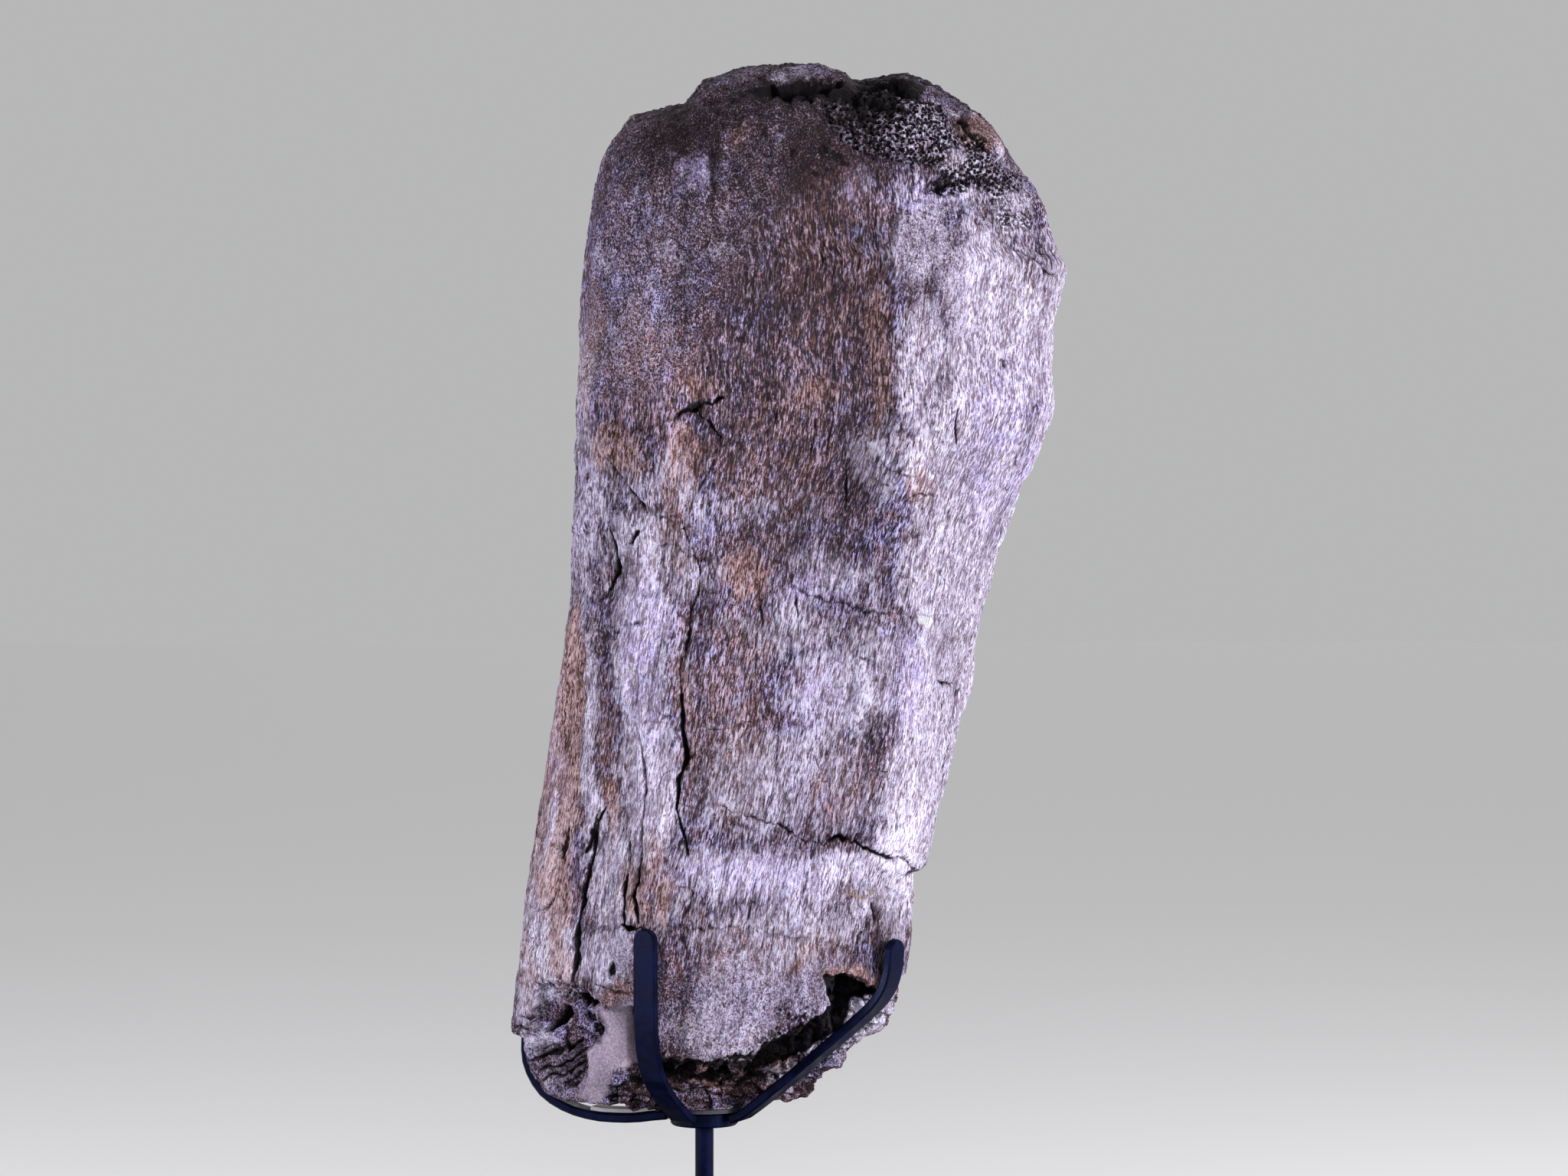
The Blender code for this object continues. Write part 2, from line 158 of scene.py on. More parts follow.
def lineDistance(x, z, points):
    # distance to a broken line and how far along it the nearest place is, from 0 to 1
    lengths = [math.dist(a, b) for a, b in zip(points[:-1], points[1:])]
    nearest = np.full(x.shape, 1e6)
    along = np.zeros(x.shape)
    done = 0.0
    for (ax, az), (bx, bz), length in zip(points[:-1], points[1:], lengths):
        t = np.clip(((x - ax) * (bx - ax) + (z - az) * (bz - az)) / length**2, 0.0, 1.0)
        distance = np.hypot(x - ax - t * (bx - ax), z - az - t * (bz - az))
        closer = distance < nearest
        along = np.where(closer, (done + t * length) / sum(lengths), along)
        nearest = np.minimum(nearest, distance)
        done += length
    return nearest, along


def depthInside(x, z, outline):
    # how far inside a closed outline a place lies; negative outside
    distance = lineDistance(x, z, outline + outline[:1])[0]
    inside = np.zeros(x.shape, bool)
    for (ax, az), (bx, bz) in zip(outline, outline[1:] + outline[:1]):
        if az == bz:
            continue
        crossing = (az > z) != (bz > z)
        inside ^= crossing & (x < (bx - ax) * (z - az) / (bz - az) + ax)
    return np.where(inside, distance, -distance)


# The bone

# Outlines are in millimetres. Edges are (height, x), the rest (x, height), as in the solid model.
boneForm = {
    "faces": 196000,
    "columns": 800,
    "frontShare": 2.8,
    "sectionPower": 2.7,
    "domePower": 2.5,
    "domeHeight": 125,
    "domeDepth": 80,
    "domeReach": 0.985,
    # half width and half depth of the straight, even shaft in which the fibres are laid out
    "grainSize": (130, 65),
    "shoulder": 690.0,
    "rim": 141.5,
    "seat": 137.0,
    "seatRadius": 28.5,
    "postX": -50.0,
    "underRows": 14,
    "breakRows": 180,
    "breakTop": 262.0,
    "shaftRows": 440,
    "domeRows": 160,
    "leftEdge": [(185, -177), (243, -170.5), (330, -157), (430, -142.5), (480, -135.5), (560, -134.5),
                 (640, -129.5), (690, -127)],
    "rightEdge": [(145, 58), (180, 66), (205, 76.5), (218, 80), (255, 86), (293, 95), (355, 109.5),
                  (455, 130.5), (518, 148.5), (568, 169.5), (593, 175.5), (618, 174), (668, 181),
                  (682, 183.5), (690, 179)],
    "rightStep": [(200, 0.0), (240, -0.5), (290.5, -7.0), (293, 0.0), (300, 0.0)],
    "topEdge": [(-127, 690), (-125.5, 706), (-121.5, 730), (-114.5, 755), (-95, 781), (-62, 791),
                (-48, 806), (2, 815.5), (22, 815.5), (38, 809), (50, 803.5), (64, 805), (80, 809.5),
                (95, 803), (116, 790), (137, 772), (151, 752), (163.5, 738), (170, 724), (174, 706),
                (179, 690)],
    "frontBreak": [(-177, 187), (-165, 187), (-158, 217), (-137, 218), (-121, 206), (-106, 200), (-92, 203),
                   (-80, 167), (-56, 160), (-26, 160), (-12, 174), (12, 180), (20, 192), (34, 200), (42, 222),
                   (54, 219), (66, 213), (88, 236)],
    "backBreak": [(-177, 187), (-140, 172), (-105, 180), (-70, 164), (-20, 170), (25, 186), (60, 205),
                  (88, 236)],
    "coreLeft": [(140, -140), (146, -153), (169, -167), (190, -169), (245, -165)],
    "coreRight": [(140, 14), (146, 21), (158, 27), (162, 39), (172, 43), (180, 54), (186, 66), (208, 74),
                  (245, 81)],
    "coreFront": [(-170, 47), (-128, 50), (-100, 49), (-86, 34), (-50, 23), (-18, 11), (0, 8), (20, 12),
                  (40, 18), (60, 24), (80, 28)],
    "coreBack": [(-170, 42), (-90, 46), (-20, 40), (80, 30)],
    "shelfDrop": 5.0,
    "frontDepth": [(140, 58), (220, 60), (330, 60), (450, 63), (560, 70), (650, 79), (690, 81)],
    "backDepth": [(140, 55), (220, 58), (330, 59), (450, 61), (560, 66), (650, 76), (690, 79)],
}


def section(angle):
    # a rounded rectangle, one unit across each way
    power = 2 / boneForm["sectionPower"]
    x, y = np.cos(angle), np.sin(angle)
    return np.sign(x) * np.abs(x) ** power, np.sign(y) * np.abs(y) ** power


def columnAngles():
    dense = np.linspace(-math.pi, math.pi, 20001)
    p, q = section(dense)
    step = np.hypot(np.diff(p) * 2.2, np.diff(q)) * np.where(dense[:-1] < 0, boneForm["frontShare"], 1.0)
    way = np.concatenate([[0.0], np.cumsum(step)])
    return np.interp(np.arange(boneForm["columns"]) * way[-1] / boneForm["columns"], way, dense)


def halfDepth(q, height):
    return np.where(q < 0, curve(boneForm["frontDepth"], height), curve(boneForm["backDepth"], height))


def asSeen(x, y, height):
    # where the camera sees a place, in millimetres
    nearness = view["distance"] / (view["distance"] + y * mm)
    middle, level = view["middle"] / mm, view["height"] / mm
    return middle + (x - middle) * nearness, level + (height - level) * nearness


def across(p, height, left, right):
    # x of a section's place between the two edges
    low, high = curve(boneForm[left], height), curve(boneForm[right], height)
    return (low + high) / 2 + p * (high - low) / 2


def outerWall(p, q, height):
    # the outer surface, as if nothing were broken off
    x = across(p, height, "leftEdge", "rightEdge")
    x = x + curve(boneForm["rightStep"], height) * smoothStep(0.72, 0.96, p)
    return np.stack([x, q * halfDepth(q, height), height], axis=-1)


def coreWall(p, q, height):
    # the inner bone and its rock filling, which show where the outer bone has gone
    x = across(p, height, "coreLeft", "coreRight")
    depth = np.where(q < 0, curve(boneForm["coreFront"], x), curve(boneForm["coreBack"], x))
    return np.stack([x, q * depth, height], axis=-1)


def breakEdge(p, q, ragged):
    # the height at which the outer surface breaks off in each column
    height = np.full(p.shape, 200.0)
    for _ in range(6):
        x, y = outerWall(p, q, height)[..., 0], q * halfDepth(q, height)
        seenX = asSeen(x, y, height)[0]
        nearness = view["distance"] / (view["distance"] + y * mm)
        level = view["height"] / mm
        front = level + (curve(boneForm["frontBreak"], seenX) - level) / nearness
        back = curve(boneForm["backBreak"], x)
        height = front * smoothStep(0.02, -0.02, q) + back * smoothStep(-0.02, 0.02, q) + ragged
    return height


def brokenRows(angle):
    # each column runs up the core, out along the broken edge and up the outer surface
    p, q = section(angle)
    spots = np.stack([100 * p, 100 * q, 0 * p], axis=-1)
    ragged = 2.2 * cloud(spots, 9.0, 5) + 2.0 * cloud(spots, 3.0, 6)
    edge = breakEdge(p, q, ragged)
    top, rim = boneForm["breakTop"], boneForm["rim"]
    shelf = np.maximum(edge - boneForm["shelfDrop"], rim + 2.0)
    inward = np.linalg.norm(outerWall(p, q, edge) - coreWall(p, q, shelf), axis=-1) + 0.01
    share = np.linspace(0.0, 1.0, boneForm["breakRows"], endpoint=False)[:, None]
    way = share * (shelf - rim + inward + top - edge)
    low = np.minimum(rim + way, shelf)
    out = np.clip((way - (shelf - rim)) / inward, 0.0, 1.0)
    high = edge + np.maximum(way - (shelf - rim) - inward, 0.0)
    pWide, qWide = p + 0 * way, q + 0 * way
    place = coreWall(pWide, qWide, low) * (1 - out)[..., None]
    place = place + outerWall(pWide, qWide, high) * out[..., None]
    inner = 1 - smoothStep(0.9, 1.0, out)
    # how deep a place lies under the overhanging outer bone, from 0 to 1
    crevice = np.exp(-np.maximum(shelf - low, 0.0) / (1.5 + 0.15 * inward))
    crevice = crevice * smoothStep(8.0, 26.0, inward) * (1 - out)
    wide, deep = boneForm["grainSize"]
    return place, np.stack([wide * pWide, deep * qWide, place[..., 2]], axis=-1), inner, crevice


def wallRows(angle, heights):
    p, q = section(angle)[0][None, :], section(angle)[1][None, :]
    z = heights[:, None] + 0.0 * p
    wide, deep = boneForm["grainSize"]
    return outerWall(p + 0 * z, q + 0 * z, z), np.stack([wide * p + 0 * z, deep * q + 0 * z, z], axis=-1)


def domeRows(angle, shares):
    # the top: the shoulder's ring drawn inwards, raised to the outline and rounded to the front and the back
    shoulder = boneForm["shoulder"]
    edge = wallRows(angle, np.array([shoulder]))[0][0]
    left, right = edge[:, 0].min(), edge[:, 0].max()
    middle, half = (left + right) / 2, (right - left) / 2
    x = middle + shares[:, None] * (edge[None, :, 0] - middle)
    y = shares[:, None] * edge[None, :, 1]
    power = boneForm["sectionPower"]
    room = (1 - np.abs((x - middle) / half) ** power) ** (1 / power)
    lean = np.clip(np.abs(y) / (room * halfDepth(y, shoulder + 0 * y)), 0.0, 1.0)
    rise = curve(boneForm["topEdge"], x) - shoulder
    power = boneForm["domePower"]
    z = shoulder + rise * (1 - lean ** power) ** (1 / power)
    p, q = section(angle)
    wide, deep = boneForm["grainSize"]
    grain = np.stack([wide * shares[:, None] * p, deep * shares[:, None] * q, z], axis=-1)
    return np.stack([x, y, z], axis=-1), grain


def domeShares():
    # ring sizes that lie evenly along the rounded front of the top
    share = np.sin(np.linspace(math.pi / 2, 0.0, 4000)) ** (2 / boneForm["domePower"])
    power = boneForm["domePower"]
    rise = boneForm["domeHeight"] * (1 - np.clip(share, 0, 1) ** power) ** (1 / power)
    depth = boneForm["domeDepth"] * share
    way = np.concatenate([[0.0], np.cumsum(np.hypot(np.diff(rise), np.diff(depth)))])
    steps = np.linspace(0.0, way[-1] * boneForm["domeReach"], boneForm["domeRows"] + 1)[1:]
    return np.interp(steps, way, share)


def boneGrid():
    # rows of places from the seat up to the crown, with their fibre coordinates, where they are broken bone
    # and where they are deep under it
    angle = columnAngles()
    rim = boneForm["rim"]
    broken, brokenGrain, inner, crevice = brokenRows(angle)
    shaft = np.linspace(boneForm["breakTop"], boneForm["shoulder"], boneForm["shaftRows"])
    wall, wallGrain = wallRows(angle, shaft)
    dome, domeGrain = domeRows(angle, domeShares())
    lowest = broken[0]
    heading = np.arctan2(lowest[:, 1], lowest[:, 0] - boneForm["postX"])
    seatRing = np.stack([boneForm["postX"] + boneForm["seatRadius"] * np.cos(heading),
                         boneForm["seatRadius"] * np.sin(heading), 0 * heading + boneForm["seat"]], axis=-1)
    share = np.linspace(0.0, 1.0, boneForm["underRows"], endpoint=False)[:, None, None]
    under = seatRing[None] + share * (lowest - seatRing)[None]
    under[..., 2] = boneForm["seat"] + (rim - boneForm["seat"]) * np.sin(share[..., 0] * math.pi / 2) ** 0.6
    above = np.zeros((len(wall) + len(dome), len(angle)))
    inner = np.concatenate([np.ones(under.shape[:2]), inner, above])
    crevice = np.concatenate([np.zeros(under.shape[:2]), crevice, above])
    grid = np.concatenate([under, broken, wall, dome])
    return grid, np.concatenate([under, brokenGrain, wallGrain, domeGrain]), inner, crevice


def gridNormals(grid):
    around = np.roll(grid, -1, axis=1) - np.roll(grid, 1, axis=1)
    upward = np.gradient(grid, axis=0)
    normal = np.cross(around, upward)
    return normal / np.maximum(np.linalg.norm(normal, axis=-1, keepdims=True), 1e-9)


# Cracks are (points, half width, depth), as the camera sees them.
frontCracks = [
    ([(-101, 574), (-80, 582), (-60, 589.5), (-41, 596), (-18, 603), (-4, 605.5)], 0.8, 0.8),
    ([(-67, 586), (-62, 590), (-55, 590), (-50, 594), (-44, 593), (-39, 598)], 2.2, 7.0),
    ([(-57, 592), (-53, 586), (-47, 584), (-44, 578), (-40, 573)], 1.2, 3.4),
    ([(-40, 573), (-41, 562), (-46.5, 553), (-50, 543.5), (-56, 534), (-62, 524)], 0.8, 1.2),
    ([(-62, 524), (-64, 514), (-60, 504), (-55, 492)], 0.7, 1.2),
    ([(-56, 494), (-52.5, 488.5), (-54.5, 474.5), (-60.5, 457.5), (-61, 441.5), (-66.5, 416.5),
      (-65, 400)], 1.0, 3.0),
    ([(-59, 470), (-63, 452), (-65, 436)], 0.9, 2.2),
    ([(-66, 404), (-64, 382), (-60.5, 364.5), (-66, 350), (-68, 330)], 1.5, 7.0),
    ([(-68, 332), (-66, 322), (-62, 312), (-61, 300)], 1.2, 4.0),
    ([(-118, 564), (-110, 553), (-100, 542)], 0.9, 1.6),
    ([(-100, 542), (-92, 531), (-88, 522)], 1.1, 3.4),
    ([(-92.5, 511), (-96, 502)], 1.7, 5.0),
    ([(-111, 512), (-107.5, 502), (-106.5, 488.5), (-109, 478), (-115.5, 468)], 1.5, 5.0),
    ([(-112.5, 468), (-110.5, 428), (-107.5, 387.5), (-112.5, 364.5), (-115, 335)], 0.8, 0.9),
    ([(-113, 335), (-118.5, 322), (-122, 301.5), (-124, 288), (-131, 266), (-132.5, 239.5),
      (-135.5, 215)], 1.4, 6.0),
    ([(-119, 326), (-123, 312), (-127, 300)], 1.6, 4.0),
    ([(-92, 380), (-90, 372), (-87, 350), (-89, 324.5), (-90, 298)], 0.9, 2.4),
    ([(-90, 298), (-92, 284), (-96, 273), (-93.5, 260), (-92.5, 255.5)], 1.4, 6.0),
    ([(-97.5, 316.5), (-98, 298), (-99.5, 286.5)], 0.9, 2.6),
    ([(-99.5, 286.5), (-101.5, 275), (-103.5, 260), (-101.5, 253), (-98, 252)], 1.7, 7.0),
    ([(-104, 254), (-99, 251.5), (-90, 252)], 1.6, 5.0),
    ([(-86, 253), (-70, 254), (-50, 251), (-20, 253), (0, 248)], 0.9, 1.0),
    ([(-139, 320), (-143, 306), (-142.5, 298)], 1.4, 4.0),
    ([(-147, 276), (-152, 266), (-156, 258)], 1.0, 2.4),
    ([(-156, 258), (-158, 244), (-158, 230)], 1.0, 1.8),
    ([(4, 477), (11.5, 473.5), (29.5, 465.5), (57, 459.5), (78, 457.5), (93.5, 452.5),
      (105.5, 452.5)], 0.9, 1.6),
    ([(-81, 502), (-67.5, 501), (-56, 494), (-49, 490.5)], 0.9, 2.0),
    ([(-38, 330.5), (-30, 327.5), (-9.5, 322), (16, 309.5), (29.5, 306)], 0.9, 2.2),
    ([(28, 306), (38, 311), (50, 307), (60, 301), (70, 299)], 1.9, 5.0),
    ([(70, 299), (79, 297), (88, 288), (94, 284)], 1.0, 2.6),
    ([(72, 329), (71, 318), (72, 308)], 0.9, 2.0),
    ([(68, 309), (74, 303), (80.5, 297), (83, 280), (77.5, 274), (68, 279)], 0.9, 1.6),
    ([(55.7, 261), (56.2, 252), (50.4, 246.5), (47.7, 235)], 1.0, 3.2),
    ([(72, 258), (70, 248), (71, 238)], 0.9, 2.2),
    ([(61, 267), (63, 262), (62, 256)], 1.4, 4.4),
    ([(71.5, 591.5), (90, 594), (108.5, 594.5)], 0.9, 1.2),
    ([(93.5, 588), (97, 577), (105, 575)], 0.9, 1.8),
    ([(115.5, 592), (114.5, 580), (115.5, 568.5)], 1.1, 5.0),
    ([(144.5, 623.5), (144.5, 617.5)], 1.0, 3.0),
    ([(141, 624), (149, 623)], 0.9, 2.4),
    ([(135, 575), (148.5, 576.5), (156.5, 568.5)], 0.9, 1.2),
    ([(66, 553.5), (77, 549), (89, 547.5)], 0.9, 1.8),
    ([(56.5, 545.5), (70.5, 541)], 0.9, 1.8),
    ([(79.5, 532.5), (92, 536), (102.5, 534)], 0.9, 2.4),
    ([(42, 552), (42.5, 540), (44, 527)], 1.0, 3.0),
    ([(78.5, 512), (89, 509.5)], 0.9, 1.6),
    ([(10, 472.5), (10, 455)], 0.9, 2.2),
    ([(-14, 470), (-13, 452), (-16, 440)], 0.9, 1.8),
    ([(-104.5, 451), (-95.5, 448.5), (-85, 453)], 0.9, 1.8),
    ([(-126.5, 437), (-117, 431), (-109, 430)], 0.9, 1.8),
    ([(-46, 764), (-44, 756), (-45, 744), (-43, 732)], 2.0, 1.6),
    ([(104, 412), (113, 411)], 1.2, 3.4),
    ([(118, 780), (121, 772), (127, 764), (134, 757)], 1.8, 5.0),
    ([(-6, 802), (10, 800), (24, 799), (36, 803)], 5.0, 8.0),
    ([(54, 801), (64, 803), (74, 801), (88, 796)], 4.5, 8.0),
    ([(40, 792), (50, 790), (70, 787), (90, 784)], 2.0, 3.4),
    ([(82.5, 727), (112.5, 722), (127.5, 713), (147, 701.5), (171, 684)], 0.9, 1.4),
    ([(92, 733), (106, 738), (124, 741), (146, 744), (158, 738)], 2.6, 3.0),
    ([(165, 690), (172, 681), (180, 679)], 1.4, 3.6),
    ([(-122, 216), (-110, 212), (-98, 208)], 0.9, 2.4),
    ([(-166, 165), (-154, 169.5), (-146, 173.5), (-138, 176), (-131, 178)], 2.0, 7.0),
    ([(-160, 158), (-148, 161.5), (-140, 166), (-131, 170)], 1.3, 4.0),
    ([(-156, 153), (-146, 156), (-136, 161), (-129, 165)], 1.5, 4.5),
    ([(-150, 148.5), (-142, 150.5), (-136, 154), (-130, 159)], 1.2, 3.4),
    ([(-146, 145), (-139, 146.5), (-132, 151)], 1.0, 2.6),
    ([(-175, 188), (-166, 185.5), (-158, 185)], 1.0, 3.0),
]

# Plates stand out or lie back: (outline, rise, softness of the edge).
frontPlates = [
    ([(-150, 470), (-108, 470), (-106, 395), (-112, 362), (-120, 310), (-128, 280), (-134, 216), (-170, 216)],
     1.2, 0.9),
    ([(-160, 262), (-131, 262), (-134, 216), (-160, 214)], 2.0, 1.0),
    ([(-100, 470), (-60, 470), (-67, 400), (-62, 360), (-68, 300), (-95, 290), (-92, 400)], 2.4, 2.4),
    ([(-92, 254), (-60, 253), (-20, 252), (-4, 247), (24, 247), (48, 236), (60, 262), (30, 300), (-40, 322),
      (-62, 306), (-88, 300)], 1.8, 0.9),
    ([(-118, 250), (-104, 252), (-96, 250), (-92, 216), (-118, 216)], 2.2, 1.0),
    ([(-134, 565), (-126, 560), (-124, 520), (-128, 511), (-140, 511)], 2.4, 0.8),
    ([(72, 700), (80, 724), (112, 720), (128, 711), (147, 699), (175, 680), (182, 600), (150, 500),
      (118, 440), (84, 440), (70, 470), (76, 600)], 1.4, 1.2),
    ([(82, 640), (112, 650), (118, 684), (92, 692), (78, 676)], -1.0, 1.2),
    ([(-118, 564), (-100, 574), (-60, 587), (-42, 575), (-47, 555), (-58, 536), (-67, 521),
      (-84, 523)], 1.6, 0.9),
    ([(96, 300), (110, 330), (118, 380), (90, 380), (72, 330), (70, 300)], 1.0, 1.2),
    ([(-131, 448), (-127, 446), (-128, 400), (-130, 364), (-136, 331), (-140, 303), (-147, 305), (-146, 340),
      (-142, 380), (-136, 420)], -3.2, 1.6),
    ([(66, 300), (80, 296), (84, 280), (77, 273), (68, 278)], 1.4, 0.8),
    ([(58, 272), (84, 272), (86, 226), (48, 224), (50, 246)], -1.4, 1.0),
    ([(76, 556), (104, 549), (103, 532), (80, 533), (66, 545)], 1.2, 0.8),
    ([(72, 592), (108, 596), (104, 576), (92, 570), (76, 578)], 1.0, 0.8),
    ([(50, 793), (68, 794), (88, 789), (86, 784), (52, 786)], 2.0, 1.5),
    ([(117, 775), (122, 783), (137, 773), (145, 758), (135, 755), (125, 763)], 5.0, 2.4),
    ([(30, 312), (58, 312), (60, 303), (44, 300), (30, 303)], -2.6, 1.2),
    ([(88, 726), (112, 724), (132, 716), (150, 704), (172, 690), (176, 712), (166, 738), (150, 756),
      (120, 752), (96, 742)], -3.0, 1.6),
]

# Hollows of the broken end: (outline, depth, softness of the edge, darkness); the darkness is painted shade
# inside the hollow.
frontPits = [
    ([(-154, 184.5), (-151, 189), (-146, 194.5), (-142, 200.5), (-139, 202), (-136.5, 195.5), (-141, 190),
      (-146, 187), (-151, 184)], 14.0, 0.9, 1.0),
    ([(-131, 209), (-124, 207), (-119, 202), (-127, 201)], 8.0, 1.2, 0.9),
    ([(-122, 190), (-116, 188), (-117, 181), (-122, 183)], 4.0, 1.2, 0.6),
    ([(-127, 196), (-122, 197), (-121, 192), (-126, 191)], 4.0, 1.2, 0.7),
    ([(-172, 195), (-164, 192), (-157, 193), (-157, 195), (-166, 196)], 5.0, 1.0, 0.8),
    ([(-112, 226), (-109, 231), (-107, 224), (-110, 221)], 3.0, 1.0, 0.7),
    ([(36, 221), (46, 219), (58, 216), (63, 212), (57, 208.5), (46, 207), (41, 203), (38, 193), (34, 195),
      (33, 208)], 9.0, 1.0, 1.0),
    ([(-40, 166), (-30, 171), (-14, 170), (-20, 167)], 3.5, 1.0, 0.8),
]
# The slanting gap under the front's broken rim, cut in and painted black as its shadow.
creviceOutline = [(29, 222), (31, 213), (33, 202), (24, 194), (12, 187), (0, 181), (-12, 175), (-18, 167),
                  (-40, 165), (-60, 166), (-78, 164), (-78, 161), (-60, 161), (-40, 160), (-16, 159),
                  (-4, 165), (12, 171), (25, 178), (39, 185), (43, 195), (44, 206), (56, 209), (62, 213),
                  (48, 219), (37, 222)]
# Painted light on chunks of the broken end that catch the light: (x, height, half width, half height,
# amount).
litChunks = [(50, 190, 14, 16, 1.0), (26, 176, 14, 8, 0.9), (2, 156, 16, 12, 0.8), (60, 176, 14, 16, 0.8)]
# The thin layers of the left foot, and the smooth rock beside them.
stripedOutline = [(-163, 173), (-150, 178), (-135, 179), (-126, 174), (-126, 158), (-136, 146), (-150, 152),
                  (-160, 162)]
rockOutline = [(-123, 203), (-115, 200), (-100, 206), (-90, 200), (-87, 172), (-96, 161), (-108, 157),
               (-112, 145), (-118, 137), (-134, 141), (-130, 148), (-127.5, 158), (-127.5, 170),
               (-118, 177), (-115, 187)]
# Places too deep for any light: (x, height, half width, half height, amount).
frontShade = [
    (12, 798, 40, 6.5, 1.0), (72, 802, 26, 8, 1.0), (45, 793, 30, 5, 0.8), (56, 784, 24, 12, 0.62),
    (126, 739, 26, 5, 0.5), (22, 752, 34, 14, 0.42), (-52, 591, 11, 4, 0.5), (-124, 758, 8, 22, 0.3),
    (-30, 154, 44, 4, 0.5), (-98, 142, 16, 5, 0.4), (40, 212, 14, 7, 0.6),
]

# Where pores show, as (outline, amount).
spongePatches = [
    ([(30, 786), (58, 797), (95, 792), (112, 780), (118, 765), (100, 751), (75, 747), (45, 754),
      (32, 770)], 1.0),
    ([(92, 741), (110, 750), (135, 757), (153, 755), (160, 742), (150, 733), (125, 727), (100, 726),
      (88, 732)], 1.0),
    ([(112, 780), (140, 770), (158, 745), (172, 712), (174, 690), (150, 703), (125, 718), (105, 726),
      (100, 751)], 0.5),
    ([(-160, 222), (-126, 221), (-128, 205), (-158, 206)], 0.5),
    ([(-20, 200), (34, 205), (60, 212), (84, 236), (66, 180), (30, 150), (-60, 138), (-76, 150),
      (-70, 160)], 0.45),
    ([(-126, 170), (-84, 168), (-76, 140), (-130, 138)], 0.3),
    ([(-110, 215), (-96, 215), (-96, 198), (-110, 198)], 0.4),
    ([(-36, 790), (30, 798), (40, 770), (0, 760), (-30, 770)], 0.3),
]

# Smooth grey repairs, as (outline, amount).
fillerPatches = [
    ([(88, 582), (97, 580), (99, 573), (90, 571)], 0.6),
    ([(72, 473), (79, 474), (81, 467), (75, 465)], 0.35),
    ([(97, 447), (104, 447), (104, 437), (97, 437)], 0.5),
]

# Where the surface is granular and not fibrous.
granularPatches = [
    ([(74, 712), (100, 722), (122, 704), (120, 672), (104, 656), (78, 660)], 0.8),
    ([(98, 656), (124, 660), (128, 636), (104, 634)], 0.5),
    ([(-150, 820), (90, 830), (70, 745), (20, 735), (-20, 715), (-40, 660), (-60, 610), (-140, 600)], 1.0),
    ([(-110, 240), (-60, 236), (0, 232), (30, 230), (60, 214), (30, 190), (-10, 150), (-90, 150),
      (-130, 190)], 0.8),
]

# Colours of the front: (x, height, half width, half height, amount).
frontPale = [
    (142, 640, 40, 76, 0.95), (126, 560, 46, 66, 0.95), (106, 480, 34, 66, 0.95), (100, 400, 32, 66, 1.0),
    (88, 330, 24, 56, 1.0), (74, 275, 18, 24, 0.9), (92, 690, 26, 30, 0.62), (90, 610, 20, 50, 0.8),
    (35, 478, 34, 18, 0.6), (4, 452, 20, 28, 0.62), (30, 405, 26, 30, 0.72), (24, 366, 30, 18, 0.62),
    (40, 330, 36, 20, 0.55), (-20, 284, 58, 24, 0.86), (20, 278, 30, 22, 0.8), (-88, 440, 21, 70, 1.0),
    (-87, 350, 20, 60, 1.0), (-122, 400, 5, 60, 0.8), (-126, 330, 7, 40, 0.75),
    (-150, 320, 7, 80, 0.8), (-108, 290, 16, 46, 0.78), (-148, 240, 24, 34, 0.8), (-112, 236, 22, 20, 0.86),
    (-92, 500, 30, 30, 0.7), (-122, 540, 12, 44, 0.7), (-128, 500, 8, 60, 0.7), (-58, 530, 14, 20, 0.55),
    (-100, 545, 20, 20, 0.5), (-57, 750, 13, 16, 0.66), (-78, 693, 12, 10, 0.5), (-116, 684, 8, 12, 0.5),
    (-41, 696, 12, 9, 0.44), (48, 732, 6, 10, 0.6), (-1, 763, 4, 4, 0.7), (-18, 222, 40, 22, 0.6),
    (20, 210, 34, 28, 0.6), (-36, 190, 44, 28, 0.66), (50, 185, 24, 28, 0.75), (66, 200, 14, 20, 0.8),
    (108, 728, 40, 18, 0.7), (128, 752, 28, 20, 0.7), (152, 728, 16, 26, 0.75), (-70, 262, 24, 16, 0.6),
    (-100, 640, 30, 44, 0.3), (-166, 205, 12, 24, 0.75), (-160, 180, 14, 14, 0.7), (-146, 160, 20, 20, 0.45),
    (0, 345, 66, 34, 0.6), (-40, 400, 30, 60, 0.16), (-90, 700, 40, 70, 0.26), (60, 420, 20, 50, 0.6),
    (90, 762, 30, 16, 0.5), (60, 262, 20, 14, 0.7), (-80, 545, 30, 20, 0.55), (66, 560, 20, 30, 0.6),
    (0, 248, 66, 18, 0.66), (82, 252, 10, 40, 1.0), (-60, 482, 30, 16, 0.6), (-60, 425, 14, 50, 0.3),
    (-10, 520, 60, 20, 0.34), (10, 440, 50, 14, 0.55), (-150, 420, 8, 70, 0.8), (-160, 300, 8, 60, 0.6),
    (10, 810, 26, 6, 0.6), (125, 783, 24, 7, 0.66), (60, 160, 12, 16, 0.6), (74, 298, 18, 26, 1.0),
    (42, 286, 22, 16, 0.95), (44, 402, 24, 34, 0.8), (-150, 232, 20, 24, 0.85),
]
